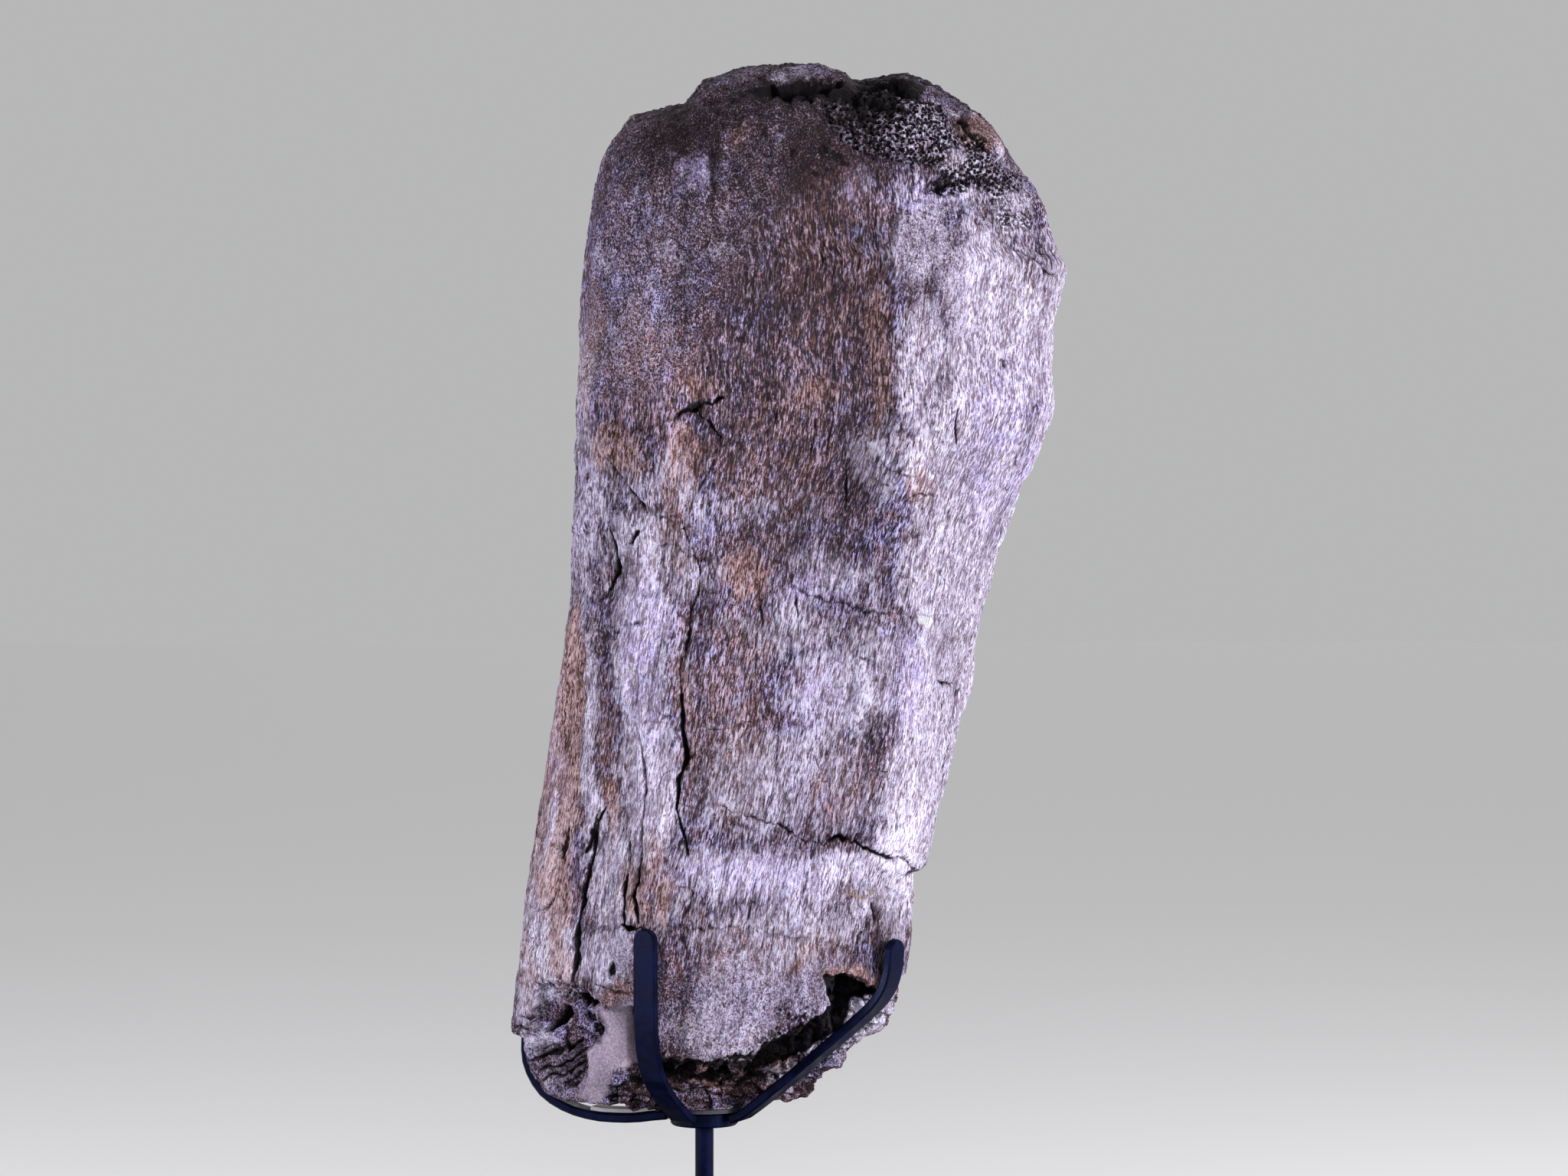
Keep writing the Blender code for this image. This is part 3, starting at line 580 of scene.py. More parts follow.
frontRust = [
    (-133, 420, 7, 34, 1.7), (-138, 375, 8, 40, 1.7), (-144, 335, 8, 34, 1.6), (-114, 390, 6, 44, 0.35),
    (-146, 280, 10, 40, 0.9), (-24, 479, 14, 18, 0.85), (-64, 556, 14, 24, 0.7), (62, 628, 9, 60, 0.7),
    (-108, 570, 18, 16, 0.8), (-125, 632, 8, 50, 0.6), (-144, 236, 12, 30, 0.7), (-34, 234, 44, 18, 0.36),
    (52, 219, 26, 6, 1.3), (-34, 164, 42, 6, 1.0), (-54, 605, 24, 10, 0.7), (18, 602, 24, 12, 0.75),
    (130, 768, 12, 12, 1.2), (-30, 774, 9, 8, 0.6), (-114, 335, 6, 30, 0.8), (-84, 292, 8, 26, 0.6),
    (-98, 278, 8, 20, 0.9), (-78, 266, 9, 18, 0.9), (20, 236, 24, 12, 0.5), (30, 690, 36, 90, 0.42),
    (-80, 620, 40, 40, 0.42), (-60, 400, 8, 60, 0.45), (-106, 213, 24, 8, 0.7), (-26, 395, 26, 70, 0.42),
    (0, 560, 40, 60, 0.4), (40, 340, 24, 16, 0.4), (-20, 180, 26, 16, 0.3), (-40, 148, 60, 8, 0.7),
    (-88, 300, 8, 20, 0.5), (70, 250, 8, 18, 0.2), (-168, 230, 8, 30, 0.5), (95, 540, 12, 12, 0.6),
    (-72, 520, 8, 40, 0.5),
]
# Tones, part real colour and part painted shade and light: darker where the top, the furrow and the broken
# end lie in shade, lighter on the lit chunks; (x, height, half width, half height, amount).
frontTonesAndShading = [
    (40, 799, 66, 10, -0.5), (50, 780, 26, 20, -0.5), (30, 755, 36, 18, -0.35), (-90, 770, 40, 26, -0.3),
    (-10, 780, 70, 26, -0.3), (-10, 700, 56, 50, -0.26), (20, 736, 50, 16, -0.25), (60, 665, 26, 60, -0.1),
    (-30, 590, 30, 50, -0.15), (30, 560, 36, 40, -0.22), (44, 404, 8, 16, -0.1), (-60, 790, 60, 16, -0.2),
    (69, 250, 9, 20, -0.25), (-20, 152, 66, 8, -0.3), (-96, 150, 30, 9, -0.35), (4, 500, 40, 20, -0.16),
    (-126, 740, 16, 60, -0.15), (-98, 482, 6, 12, -0.4), (-44, 345, 20, 12, -0.1), (-44, 750, 6, 24, -0.35),
    (94, 684, 24, 26, -0.1), (50, 185, 24, 24, 0.2), (86, 340, 26, 60, 0.1), (20, 650, 40, 40, -0.12),
    (-150, 160, 24, 26, 0.1), (-112, 450, 5, 90, -0.12), (80, 745, 20, 10, -0.2), (-10, 640, 60, 60, -0.1),
    (96, 720, 30, 16, 0.12), (-40, 520, 40, 30, 0.1), (-144, 350, 12, 120, 0.16), (55, 432, 8, 26, -0.14),
    (80, 560, 14, 60, 0.08), (74, 298, 16, 26, 0.3), (42, 286, 20, 16, 0.2), (42, 400, 24, 34, 0.04),
    (150, 715, 18, 14, 0.14), (-150, 290, 12, 40, 0.14), (-152, 232, 16, 22, 0.2), (15, 210, 20, 16, -0.14),
    (-40, 168, 30, 8, -0.25), (130, 768, 12, 10, -0.25), (-20, 285, 50, 16, 0.1), (86, 385, 20, 50, 0.06),
    (130, 640, 30, 40, -0.08), (15, 210, 16, 14, -0.1),
]
# Where roots have left thin pale lines, and where the crust is bluer.
etchedPatches = [(-26, 722, 34, 40, 0.8), (-70, 700, 30, 40, 0.4), (-80, 596, 24, 10, 0.6)]
lilacPatches = [
    (150, 560, 30, 60, 0.8), (78, 412, 14, 36, 0.9), (96, 728, 26, 12, 0.8), (-56, 750, 12, 16, 1.0),
    (20, 470, 34, 10, 0.8), (-20, 285, 60, 26, 0.6), (-1, 763, 5, 5, 1.0), (48, 732, 7, 11, 0.8),
    (-84, 420, 18, 50, 0.7), (20, 400, 24, 30, 0.5), (-150, 350, 8, 60, 0.4), (40, 750, 40, 16, 0.5),
    (-130, 560, 10, 60, 0.5), (30, 330, 30, 20, 0.4), (0, 200, 40, 30, 0.4), (-120, 700, 20, 60, 0.3),
]
# The two bright repairs and the ochre line, as (points, half width).
whiteMarks = [([(90, 453.8), (96.5, 452.8)], 2.4), ([(101, 441.5), (103, 443)], 1.3)]
ochreMarks = [([(41, 277), (48, 274), (56, 273), (61, 275)], 1.4)]

# The other sides, where a place is (x or y, height) of the real surface.
backCracks = [
    ([(14, 610), (10, 560), (4, 500), (12, 440), (6, 380), (14, 320), (0, 270)], 2.6, 5.0),
    ([(-102, 440), (-106, 380), (-112, 320), (-118, 250), (-120, 200)], 2.4, 4.5),
    ([(60, 560), (72, 500), (66, 450), (58, 410)], 1.8, 3.0),
    ([(-60, 700), (-50, 650), (-62, 600), (-54, 560)], 1.8, 3.0),
    ([(-120, 520), (-80, 512), (-40, 520), (0, 508), (60, 516), (120, 505)], 1.4, 2.2),
    ([(-90, 300), (-40, 292), (10, 300), (60, 290)], 1.4, 2.0),
    ([(120, 690), (90, 676), (70, 680)], 2.2, 3.0),
]
backPlates = [
    ([(20, 600), (110, 620), (150, 560), (100, 440), (70, 420), (20, 500)], 1.6, 1.2),
    ([(-130, 420), (-108, 430), (-112, 330), (-122, 230), (-150, 240)], 1.8, 1.2),
    ([(-40, 330), (40, 340), (60, 260), (0, 230), (-50, 250)], -1.6, 1.2),
    ([(-90, 760), (-20, 775), (40, 770), (30, 720), (-60, 710)], -1.6, 4.0),
]
backPale = [
    (100, 560, 50, 80, 0.8), (60, 420, 46, 70, 0.7), (-60, 380, 50, 60, 0.6), (30, 270, 50, 40, 0.8),
    (-120, 280, 24, 70, 0.6), (-80, 560, 46, 60, 0.35), (-10, 690, 60, 50, 0.25), (90, 700, 46, 40, 0.5),
    (-30, 460, 36, 40, 0.5),
]
backRust = [
    (-20, 600, 40, 70, 0.6), (40, 350, 30, 40, 0.5), (-130, 380, 16, 60, 0.6), (110, 640, 30, 30, 0.5),
    (0, 210, 70, 18, 0.6), (-90, 700, 34, 40, 0.45), (10, 480, 14, 70, 0.5),
]
# part colour and part painted shade: darker at the top and at the broken end
backTonesAndShading = [(0, 780, 100, 20, -0.3), (-60, 640, 60, 50, -0.15), (0, 150, 90, 14, -0.3)]
sideCracks = [
    ([(-10, 640), (-14, 560), (-6, 480), (-12, 400), (-4, 330), (-10, 250)], 2.0, 3.4),
    ([(24, 520), (20, 450), (28, 380), (22, 300)], 1.8, 2.8),
    ([(-40, 424), (-22, 412), (6, 419), (26, 404)], 0.8, 0.9),
]
leftPale = [(-20, 560, 46, 110, 0.6), (20, 400, 46, 90, 0.6), (-10, 260, 46, 60, 0.6), (0, 680, 34, 60, 0.2)]
leftRust = [(10, 620, 30, 50, 0.6), (-20, 350, 24, 90, 0.7), (26, 480, 20, 70, 0.45)]
rightPale = [(20, 600, 60, 110, 0.85), (20, 430, 60, 120, 0.9), (10, 300, 60, 60, 0.85),
             (-20, 700, 40, 30, 0.4)]
rightRust = [(-20, 640, 24, 50, 0.35), (-30, 420, 20, 80, 0.45), (-10, 250, 30, 24, 0.4)]
sidesOfBone = {
    "front": (frontCracks, frontPlates, frontPale, frontRust, frontTonesAndShading),
    "back": (backCracks, backPlates, backPale, backRust, backTonesAndShading),
    "left": (sideCracks, [], leftPale, leftRust, []),
    "right": (sideCracks, [], rightPale, rightRust, [(50, 640, 16, 60, -0.25)]),
}


def raiseMask(masks, name, amount):
    masks[name] = np.maximum(masks[name], amount)


def carve(weight, u, v, masks, cracks, plates, fray):
    # relief from one side's cracks and plates; the bottoms of the cracks go into the gap-and-shade mask as
    # painted shade, darker the deeper the crack, and the ground beside each crack gets painted shade too
    rise = 0.0
    for points, halfWidth, depth in cracks:
        distance, along = lineDistance(u, v, points)
        taper = (0.35 + 0.65 * np.sin(math.pi * np.clip(along, 0.05, 0.95)) ** 0.5) * (1.0 + 1.1 * fray)
        reach = np.clip(1.0 - distance / (1.05 * halfWidth * taper + 0.2), 0.0, 1.0)
        shoulder = np.exp(-((distance / (1.2 * halfWidth + 1.0)) ** 2))
        rise = rise - depth * taper * (0.92 * reach ** 0.7 + 0.08 * shoulder)
        bottom = smoothStep(0.1, 0.5, reach) * min(1.0, 0.15 + depth / 7.0)
        raiseMask(masks, "gapAndShade", weight * bottom)
        masks["toneAndShading"] -= weight * 0.14 * min(1.0, depth / 4.0) * shoulder
    for outline, lift, softness in plates:
        rise = rise + lift * smoothStep(-softness, softness, depthInside(u, v, outline) + 1.6 * fray)
    return weight * rise


def blotch(u, v, patches):
    # colour patches that melt into each other
    total = 0.0
    for x, z, halfWidth, halfHeight, amount in patches:
        reach = np.sqrt(((u - x) / halfWidth) ** 2 + ((v - z) / halfHeight) ** 2)
        total = np.maximum(total, amount * smoothStep(1.5, 0.4, reach))
    return total


def regions(u, v, patches, softness):
    total = 0.0
    for outline, amount in patches:
        total = np.maximum(total, amount * smoothStep(-softness, softness, depthInside(u, v, outline)))
    return total


def swell(distance, reach, rise):
    # a rounded ridge, or a hollow where the rise is negative
    return rise * np.exp(-((distance / reach) ** 2))


def longRelief(u, v):
    # the broad swells of the front: the hollow middle, the right ridge and the left ridge
    ridge = swell(u - curve([(290, 62), (380, 68), (450, 71), (560, 76), (700, 72)], v), 16, 8.5)
    hollow = swell(u - curve([(430, 4), (560, 12), (720, 10)], v), 48, -8.5)
    leftRidge = swell(u + 90, 14, 2.5) * smoothStep(278, 302, v) * smoothStep(474, 450, v)
    streak = swell(u - curve([(374, 43), (392, 44), (420, 50), (455, 68)], v), 7.5, -1.0)
    streak = streak * smoothStep(362, 386, v) * smoothStep(467, 443, v)
    upper = smoothStep(276, 310, v) * smoothStep(720, 690, v)
    low = smoothStep(418, 450, v) * smoothStep(735, 708, v)
    return ridge * upper + hollow * low + leftRidge + streak


def backSwells(u, v):
    ridge = swell(u - curve([(260, -50), (480, -30), (720, -40)], v), 33, 10.0)
    hollow = swell(u - curve([(420, 40), (560, 62), (740, 70)], v), 40, -11.0)
    reach = smoothStep(248, 272, v) * smoothStep(745, 700, v)
    return ridge * reach + hollow * smoothStep(408, 432, v) * smoothStep(752, 728, v)


def painted(u, v, marks):
    # thin strokes of colour along lines
    return sum(np.exp(-((lineDistance(u, v, points)[0] / half) ** 4)) for points, half in marks)


def grooves(grain, size, seed, width):
    # thin lines between neighbouring fibres
    return smoothStep(width, 0.0, np.abs(cloud(grain, size, seed, 2)))


# How the surface is worn, in millimetres.
boneWear = {
    # how far the marks stray from their lines, and the stains from their places
    "wander": (2.0, 2.0, 2.6),
    "jitter": 0.55,
    "teeth": 2.2,
    "stainDrift": (11.0, 17.0, 3.0),
    # the size of each form and its height or depth
    "swells": ((45, 45, 110), 1.8),
    "lumps": ((14, 14, 20), 1.0),
    "topLumps": (13, 2.4),
    "topKnobs": (6, 1.6),
    "flakes": ((15.0, 15.0, 46.0), 4.0),
    "chips": ((5.2, 5.2, 17.0), 1.3),
    "grit": ((3.4, 3.4, 4.0), 1.0),
    "fibreGrooves": ((7.0, 7.0, 60.0), 1.4),
    "crossGrooves": ((42.0, 42.0, 22.0), 1.2),
    "blocks": ((15.0, 15.0, 10.0), 4.6),
    "crumbs": ((6.0, 6.0, 4.5), 1.6),
    "layers": ((30.0, 30.0, 9.0), 4.0),
    "blockJoints": 1.8,
    "crumbJoints": 0.5,
    "pores": ((3.4, 3.4, 2.6), 2.0),
    "crevice": 4.0,
    "footLayers": 0.9,
    "footSink": 3.0,
    "topFrom": (740, 790),
    # the front arm's middle as seen, and how far the bone may swell under it and beside it
    "arm": (-88, 0.2, 14.0),
    "seatGap": 0.1,
}
# What the bone's material reads at each place.
maskNames = ("gapAndShade", "pale", "rust", "sponge", "filler", "rock", "mark", "toneAndShading", "granular", "etched", "lilac")


def worn(points, name, seed):
    # one random form of the worn surface
    size, height = boneWear[name]
    return height * cloud(points, size, seed, 2)


def readSurface(grid, grain, inner, crevice):
    # what the steps below need at each place: which side it faces, where that side sees it, and random drifts
    normal = gridNormals(grid)
    drift = np.stack([cloud(grid, (12, 12, 18), seed, 2) for seed in (11, 12, 13)], axis=-1)
    jitter = np.stack([cloud(grid, 3.2, seed) for seed in (18, 19, 20)], axis=-1)
    teeth = cloud(grain, (2.6, 2.6, 26.0), 14, 2)
    wander = grid + np.array(boneWear["wander"]) * drift + boneWear["jitter"] * jitter
    wander[..., 2] += boneWear["teeth"] * teeth
    x, y, z = wander[..., 0], wander[..., 1], wander[..., 2]
    # stains have softer, more wandering edges than cracks
    soft = [cloud(grid, (30, 30, 46), seed, 3) for seed in (16, 17)]
    sideways, upwards, ragged = boneWear["stainDrift"]
    return {
        "grid": grid,
        "grain": grain,
        "inner": inner,
        "crevice": crevice,
        "normal": normal,
        "drift": drift,
        "jitter": jitter,
        "fray": cloud(grid, (5.0, 5.0, 9.0), 15, 2),
        "stain": (sideways * soft[0], upwards * soft[1] + ragged * teeth),
        "facing": {
            "front": smoothStep(0.12, 0.5, -normal[..., 1]),
            "back": smoothStep(0.12, 0.5, normal[..., 1]),
            "left": smoothStep(0.6, 0.85, -normal[..., 0]),
            "right": smoothStep(0.6, 0.85, normal[..., 0]),
        },
        "spots": {
            "front": asSeen(x, y, z),
            "back": (x, z),
            "left": (y, z),
            "right": (-y, z),
        },
    }


def markSides(surface, masks):
    # the placed cracks, plates and stains of all four sides
    facing, spots = surface["facing"], surface["spots"]
    stainX, stainZ = surface["stain"]
    relief = facing["front"] * longRelief(*spots["front"]) + facing["back"] * backSwells(*spots["back"])
    for side, (cracks, plates, pale, rust, tonesAndShading) in sidesOfBone.items():
        weight, (u, v) = facing[side], spots[side]
        relief = relief + carve(weight, u, v, masks, cracks, plates, surface["fray"])
        raiseMask(masks, "pale", weight * blotch(u + stainX, v + stainZ, pale))
        raiseMask(masks, "rust", weight * blotch(u + stainX, v + stainZ, rust))
        for *patch, amount in tonesAndShading:
            masks["toneAndShading"] += weight * blotch(u + stainX, v + stainZ, [(*patch, 1.0)]) * amount
    return relief


def markFront(surface, masks, relief):
    # what only the front has: the pits, the gap with its painted shadow, painted shade, painted light on the
    # lit chunks of the broken end, and the smaller patches
    grid, fray = surface["grid"], surface["fray"]
    stainX, stainZ = surface["stain"]
    weight, (u, v) = surface["facing"]["front"], surface["spots"]["front"]
    for outline, depth, softness, dark in frontPits:
        within = weight * smoothStep(-softness, softness, depthInside(u, v, outline) + 1.2 * fray)
        relief = relief - depth * within
        raiseMask(masks, "gapAndShade", dark * within)
    # painted shadow: the gap under the broken rim is filled with near black
    cut = smoothStep(-1.0, 1.0, depthInside(u, v, creviceOutline) + 1.2 * fray) * (grid[..., 1] < 0)
    relief = relief - boneWear["crevice"] * cut
    raiseMask(masks, "gapAndShade", cut)
    # painted shade: places too deep for any light are darkened towards near black
    shade = weight * blotch(u + 0.6 * stainX, v + 0.4 * stainZ, frontShade)
    raiseMask(masks, "gapAndShade", 0.8 * smoothStep(0.3, 0.7, shade + 0.7 * cloud(grid, (9, 9, 4), 41, 3)))
    masks["sponge"] = weight * regions(u + stainX, v + 0.5 * stainZ, spongePatches, 12.0)
    masks["filler"] = weight * regions(u, v, fillerPatches, 2.0)
    masks["rock"] = weight * smoothStep(-3.0, 3.0, depthInside(u, v, rockOutline) + 2.0 * fray)
    masks["mark"] = weight * (painted(u, v, whiteMarks) - painted(u, v, ochreMarks))
    masks["granular"] = weight * regions(u + stainX, v + stainZ, granularPatches, 12.0)
    masks["etched"] = weight * blotch(u + stainX, v + stainZ, etchedPatches)
    masks["lilac"] = weight * blotch(u + stainX, v + stainZ, lilacPatches)
    # painted light: the lit chunks are made paler and lighter
    lit = surface["inner"] * (1 - masks["rock"]) * blotch(u, v, litChunks) * (grid[..., 1] < 0) * (1 - cut)
    raiseMask(masks, "pale", lit)
    masks["toneAndShading"] += 0.35 * lit
    return relief


def flakeSurface(surface, masks, relief):
    # lumps, layers that have flaked off in steps, fibres along the bone and grains
    grid, grain, inner = surface["grid"], surface["grain"], surface["inner"]
    onTop = smoothStep(*boneWear["topFrom"], grid[..., 2] + 10 * surface["drift"][..., 1])
    notFront = 1 - surface["facing"]["front"]
    hidden = inner * notFront
    raiseMask(masks, "sponge", 0.6 * onTop * notFront)
    masks["sponge"] = smoothStep(0.2, 0.8, masks["sponge"] + 0.45 * cloud(grid, 14, 42, 3))
    raiseMask(masks, "sponge", 0.25 * (inner * (1 - masks["rock"])))
    raiseMask(masks, "granular", np.maximum(onTop * notFront, inner))
    raiseMask(masks, "rust", 0.5 * hidden)
    # painted shade: the top and the hidden inside of the broken end are darker
    masks["toneAndShading"] -= 0.25 * onTop * notFront + 0.3 * hidden
    bare = 1 - np.maximum(masks["rock"], 0.8 * masks["filler"])
    fibrous = (1 - masks["granular"]) * bare * (1 - masks["sponge"])
    relief = relief + worn(grid, "swells", 21) + worn(grid, "lumps", 22)
    relief = relief + onTop * (worn(grid, "topLumps", 35) + worn(grid, "topKnobs", 36))
    (flakeSize, flakeHeight), (chipSize, chipHeight) = boneWear["flakes"], boneWear["chips"]
    flakes = terrace(cloud(grain, flakeSize, 25, 3), 7, 0.14)
    chips = terrace(cloud(grain, chipSize, 31, 3), 4, 0.2)
    relief = relief + bare * (1 - 0.6 * onTop) * (1 - inner) * (flakeHeight * flakes + chipHeight * chips)
    relief = relief + bare * (0.35 + 0.65 * masks["granular"]) * worn(grid, "grit", 32)
    masks["toneAndShading"] += 0.22 * bare * (1 - inner) * flakes + 0.16 * chips * bare
    (wideSize, wideDepth), (crossSize, crossDepth) = boneWear["fibreGrooves"], boneWear["crossGrooves"]
    wide = grooves(grain, wideSize, 29, 0.05) * smoothStep(-0.25, 0.35, cloud(grid, 38, 37, 2))
    cross = grooves(grid, crossSize, 39, 0.02) * smoothStep(0.12, 0.3, cloud(grid, 20, 40, 2))
    relief = relief - fibrous * (wideDepth * wide + crossDepth * cross)
    raiseMask(masks, "gapAndShade", fibrous * np.maximum(0.5 * wide, 0.45 * cross))
    return relief


def crumbleEnd(surface, masks, relief):
    # the broken end is crumbly, in angular blocks and flat layers
    grid, drift, facing = surface["grid"], surface["drift"], surface["facing"]
    inside = surface["inner"] * (1 - masks["rock"])
    (blockSize, blockHeight), (crumbSize, crumbHeight) = boneWear["blocks"], boneWear["crumbs"]
    layerSize, layerHeight = boneWear["layers"]
    joints, level = stonyBlocks(grid + 3.0 * drift, blockSize, 26)
    crumbs, crumbLevel = stonyBlocks(grid + 1.2 * surface["jitter"], crumbSize, 33)
    layers = terrace(cloud(grid, layerSize, 34, 2), 6, 0.15)
    foot = smoothStep(-116, -128, surface["spots"]["front"][0])
    rough = blockHeight * (level - 0.7) + crumbHeight * (crumbLevel - 0.6) + layerHeight * layers
    rough = inside * rough * (1 - 0.6 * foot) * (0.35 + 0.65 * np.maximum(facing["front"], facing["back"]))
    joined = inside * (1 - 0.8 * foot)
    blockJoints = boneWear["blockJoints"] * smoothStep(0.08, 0.0, joints)
    relief = relief + rough - joined * (blockJoints + boneWear["crumbJoints"] * smoothStep(0.1, 0.0, crumbs))
    seams = np.maximum(0.6 * smoothStep(0.07, 0.02, joints), 0.2 * smoothStep(0.08, 0.02, crumbs))
    raiseMask(masks, "gapAndShade", joined * seams)
    # painted shade: places deep under the overhanging outer bone are darkened
    crevice = surface["crevice"]
    raiseMask(masks, "gapAndShade", smoothStep(0.2, 0.62, crevice + 0.25 * cloud(grid, 6, 43, 2) * crevice))
    masks["toneAndShading"] += inside * 0.4 * (level - 0.5)
    return relief


def pierceSurface(surface, masks, relief):
    # the pores, and the thin layers of the left foot
    grid, drift = surface["grid"], surface["drift"]
    weight, (u, v) = surface["facing"]["front"], surface["spots"]["front"]
    poreSize, poreDepth = boneWear["pores"]
    pores = smoothStep(0.6, 0.35, cellDistance(grid + 1.2 * drift, poreSize, 27))
    relief = relief - masks["sponge"] * (poreDepth * pores + 0.3)
    striped = weight * smoothStep(-2, 2, depthInside(u, v, stripedOutline))
    stripes = np.sin((0.87 * v - 0.5 * u) * 1.75 + 1.6 * drift[..., 0]) + 0.6 * surface["jitter"][..., 1]
    relief = relief + striped * (boneWear["footLayers"] * stripes - boneWear["footSink"])
    masks["toneAndShading"] -= 0.3 * striped
    raiseMask(masks, "gapAndShade", striped * 0.6 * smoothStep(-0.3, -1.0, stripes))
    raiseMask(masks, "gapAndShade", 0.62 * smoothStep(0.15, 0.8, masks["sponge"]) * pores)
    masks["gapAndShade"] = np.clip(masks["gapAndShade"], 0, 1)
    raiseMask(masks, "pale", 0.58 * weight * masks["sponge"] * (grid[..., 2] > 700))
    return relief


def sculptBone(grid, grain, inner, crevice):
    # moves the smooth grid into the worn bone and returns the masks that its material reads
    surface = readSurface(grid, grain, inner, crevice)
    masks = {name: np.zeros(inner.shape) for name in maskNames}
    relief = markSides(surface, masks)
    relief = markFront(surface, masks, relief)
    relief = flakeSurface(surface, masks, relief)
    relief = crumbleEnd(surface, masks, relief)
    relief = pierceSurface(surface, masks, relief)
    # painted shade in the hollows and painted light on the raised places: darker where the relief lies below
    # its blurred mean, lighter where it stands above it
    hollow = blurred(relief, 3) - relief
    masks["toneAndShading"] -= np.clip(0.30 * hollow, -0.16, 0.42)
    # nothing swells into the front arm, and nothing sinks into the seat
    armX, underArm, besideArm = boneWear["arm"]
    atArm = surface["facing"]["front"] * smoothStep(18, 11, np.abs(surface["spots"]["front"][0] - armX))
    atArm = atArm * smoothStep(270, 258, grid[..., 2])
    relief = np.minimum(relief, underArm + besideArm * (1 - atArm))
    held = smoothStep(0.0, 4.0, np.arange(len(grid)))[:, None]
    shaped = grid + surface["normal"] * (relief * held)[..., None]
    seat = boneForm["seat"] + boneWear["seatGap"]
    overSeat = np.hypot(shaped[..., 0] - boneForm["postX"], shaped[..., 1]) < boneForm["seatRadius"] + 3.0
    shaped[..., 2] = np.where(overSeat, np.maximum(shaped[..., 2], seat), shaped[..., 2])
    return shaped, masks


def makeBone(material):
    grid, grain, inner, crevice = boneGrid()
    rows, columns = grid.shape[:2]
    shaped, masks = sculptBone(grid, grain, inner, crevice)
    bm = bmesh.new()
    bmesh.ops.create_cone(bm, cap_ends=True, segments=columns, radius1=1, radius2=1, depth=rows - 1)
    uprights = [edge for edge in bm.edges if abs(edge.verts[0].co.z - edge.verts[1].co.z) > 1]
    bmesh.ops.subdivide_edges(bm, edges=uprights, cuts=rows - 2, use_grid_fill=True)
    mesh = bpy.data.meshes.new("bone_surface")
    bm.to_mesh(mesh)
    bm.free()
    places = np.zeros(len(mesh.vertices) * 3)
    mesh.vertices.foreach_get("co", places)
    places = places.reshape(-1, 3)
    row = np.rint(places[:, 2] + (rows - 1) / 2).astype(int)
    column = np.rint(np.arctan2(places[:, 1], places[:, 0]) / math.tau * columns).astype(int) % columns
    mesh.vertices.foreach_set("co", (shaped[row, column] * mm).ravel())
    for name, values in masks.items():
        attribute = mesh.attributes.new(name, "FLOAT", "POINT")
        attribute.data.foreach_set("value", values[row, column].astype(np.float32))
    attribute = mesh.attributes.new("grain", "FLOAT_VECTOR", "POINT")
    attribute.data.foreach_set("vector", (grain[row, column] * mm).astype(np.float32).ravel())
    mesh.update()
    mesh = thinned(mesh, boneForm["faces"])
    mesh.shade_smooth()
    return addPiece("bone_surface", mesh, material, "bone")


def addObject(name, data):
    made = bpy.data.objects.new(name, data)
    bpy.context.scene.collection.objects.link(made)
    return made


def thinned(mesh, faces):
    # collapses the flattest places until this many triangles are left
    bm = bmesh.new()
    bm.from_mesh(mesh)
    bmesh.ops.triangulate(bm, faces=bm.faces)
    bm.to_mesh(mesh)
    bm.free()
    draft = addObject("draft", mesh)
    if len(mesh.polygons) > faces:
        draft.modifiers.new("collapse", "DECIMATE").ratio = faces / len(mesh.polygons)
    settled = draft.evaluated_get(bpy.context.evaluated_depsgraph_get())
    result = bpy.data.meshes.new_from_object(settled)
    bpy.data.objects.remove(draft)
    result.name = "bone_surface"
    return result


def addPiece(name, mesh, material, node):
    piece = addObject(name, mesh)
    mesh.materials.append(material)
    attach(piece, "root")
    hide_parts(node)
    print(f"{name}: {len(mesh.polygons)} faces")
    return piece


# Materials

def addNode(tree, kind, inputs=None, **settings):
    # a node with its settings, and its inputs set to values or linked to sockets
    node = tree.nodes.new(kind)
    for name, value in settings.items():
        setattr(node, name, value)
    for name, value in (inputs or {}).items():
        if isinstance(value, bpy.types.NodeSocket):
            tree.links.new(value, node.inputs[name])
        else:
            node.inputs[name].default_value = value
    return node


def groupNode(tree, group, inputs):
    return addNode(tree, "ShaderNodeGroup", inputs, node_tree=group)


def noiseNode(tree, place, scale, detail, roughness=0.5, distortion=0.0):
    inputs = {"Vector": place, "Scale": scale, "Detail": detail, "Roughness": roughness}
    inputs["Distortion"] = distortion
    return addNode(tree, "ShaderNodeTexNoise", inputs).outputs


def mathNode(tree, operation, first, second=0.0, third=0.0):
    return addNode(tree, "ShaderNodeMath", {0: first, 1: second, 2: third}, operation=operation).outputs[0]


def rangeNode(tree, value, low, high, toLow=0.0, toHigh=1.0):
    inputs = {"Value": value, "From Min": low, "From Max": high, "To Min": toLow, "To Max": toHigh}
    return addNode(tree, "ShaderNodeMapRange", inputs, interpolation_type="SMOOTHSTEP").outputs["Result"]


def mixColour(tree, factor, first, second, blend="MIX"):
    # the three inputs are the factor and the two colours of a node that has other kinds of input too
    inputs = {0: factor}
    for index, colour in ((6, first), (7, second)):
        inputs[index] = (*colour, 1.0) if isinstance(colour, tuple) else colour
    return addNode(tree, "ShaderNodeMix", inputs, data_type="RGBA", blend_type=blend).outputs[2]


def mixValue(tree, factor, first, second):
    return addNode(tree, "ShaderNodeMix", {0: factor, 2: first, 3: second}).outputs[0]


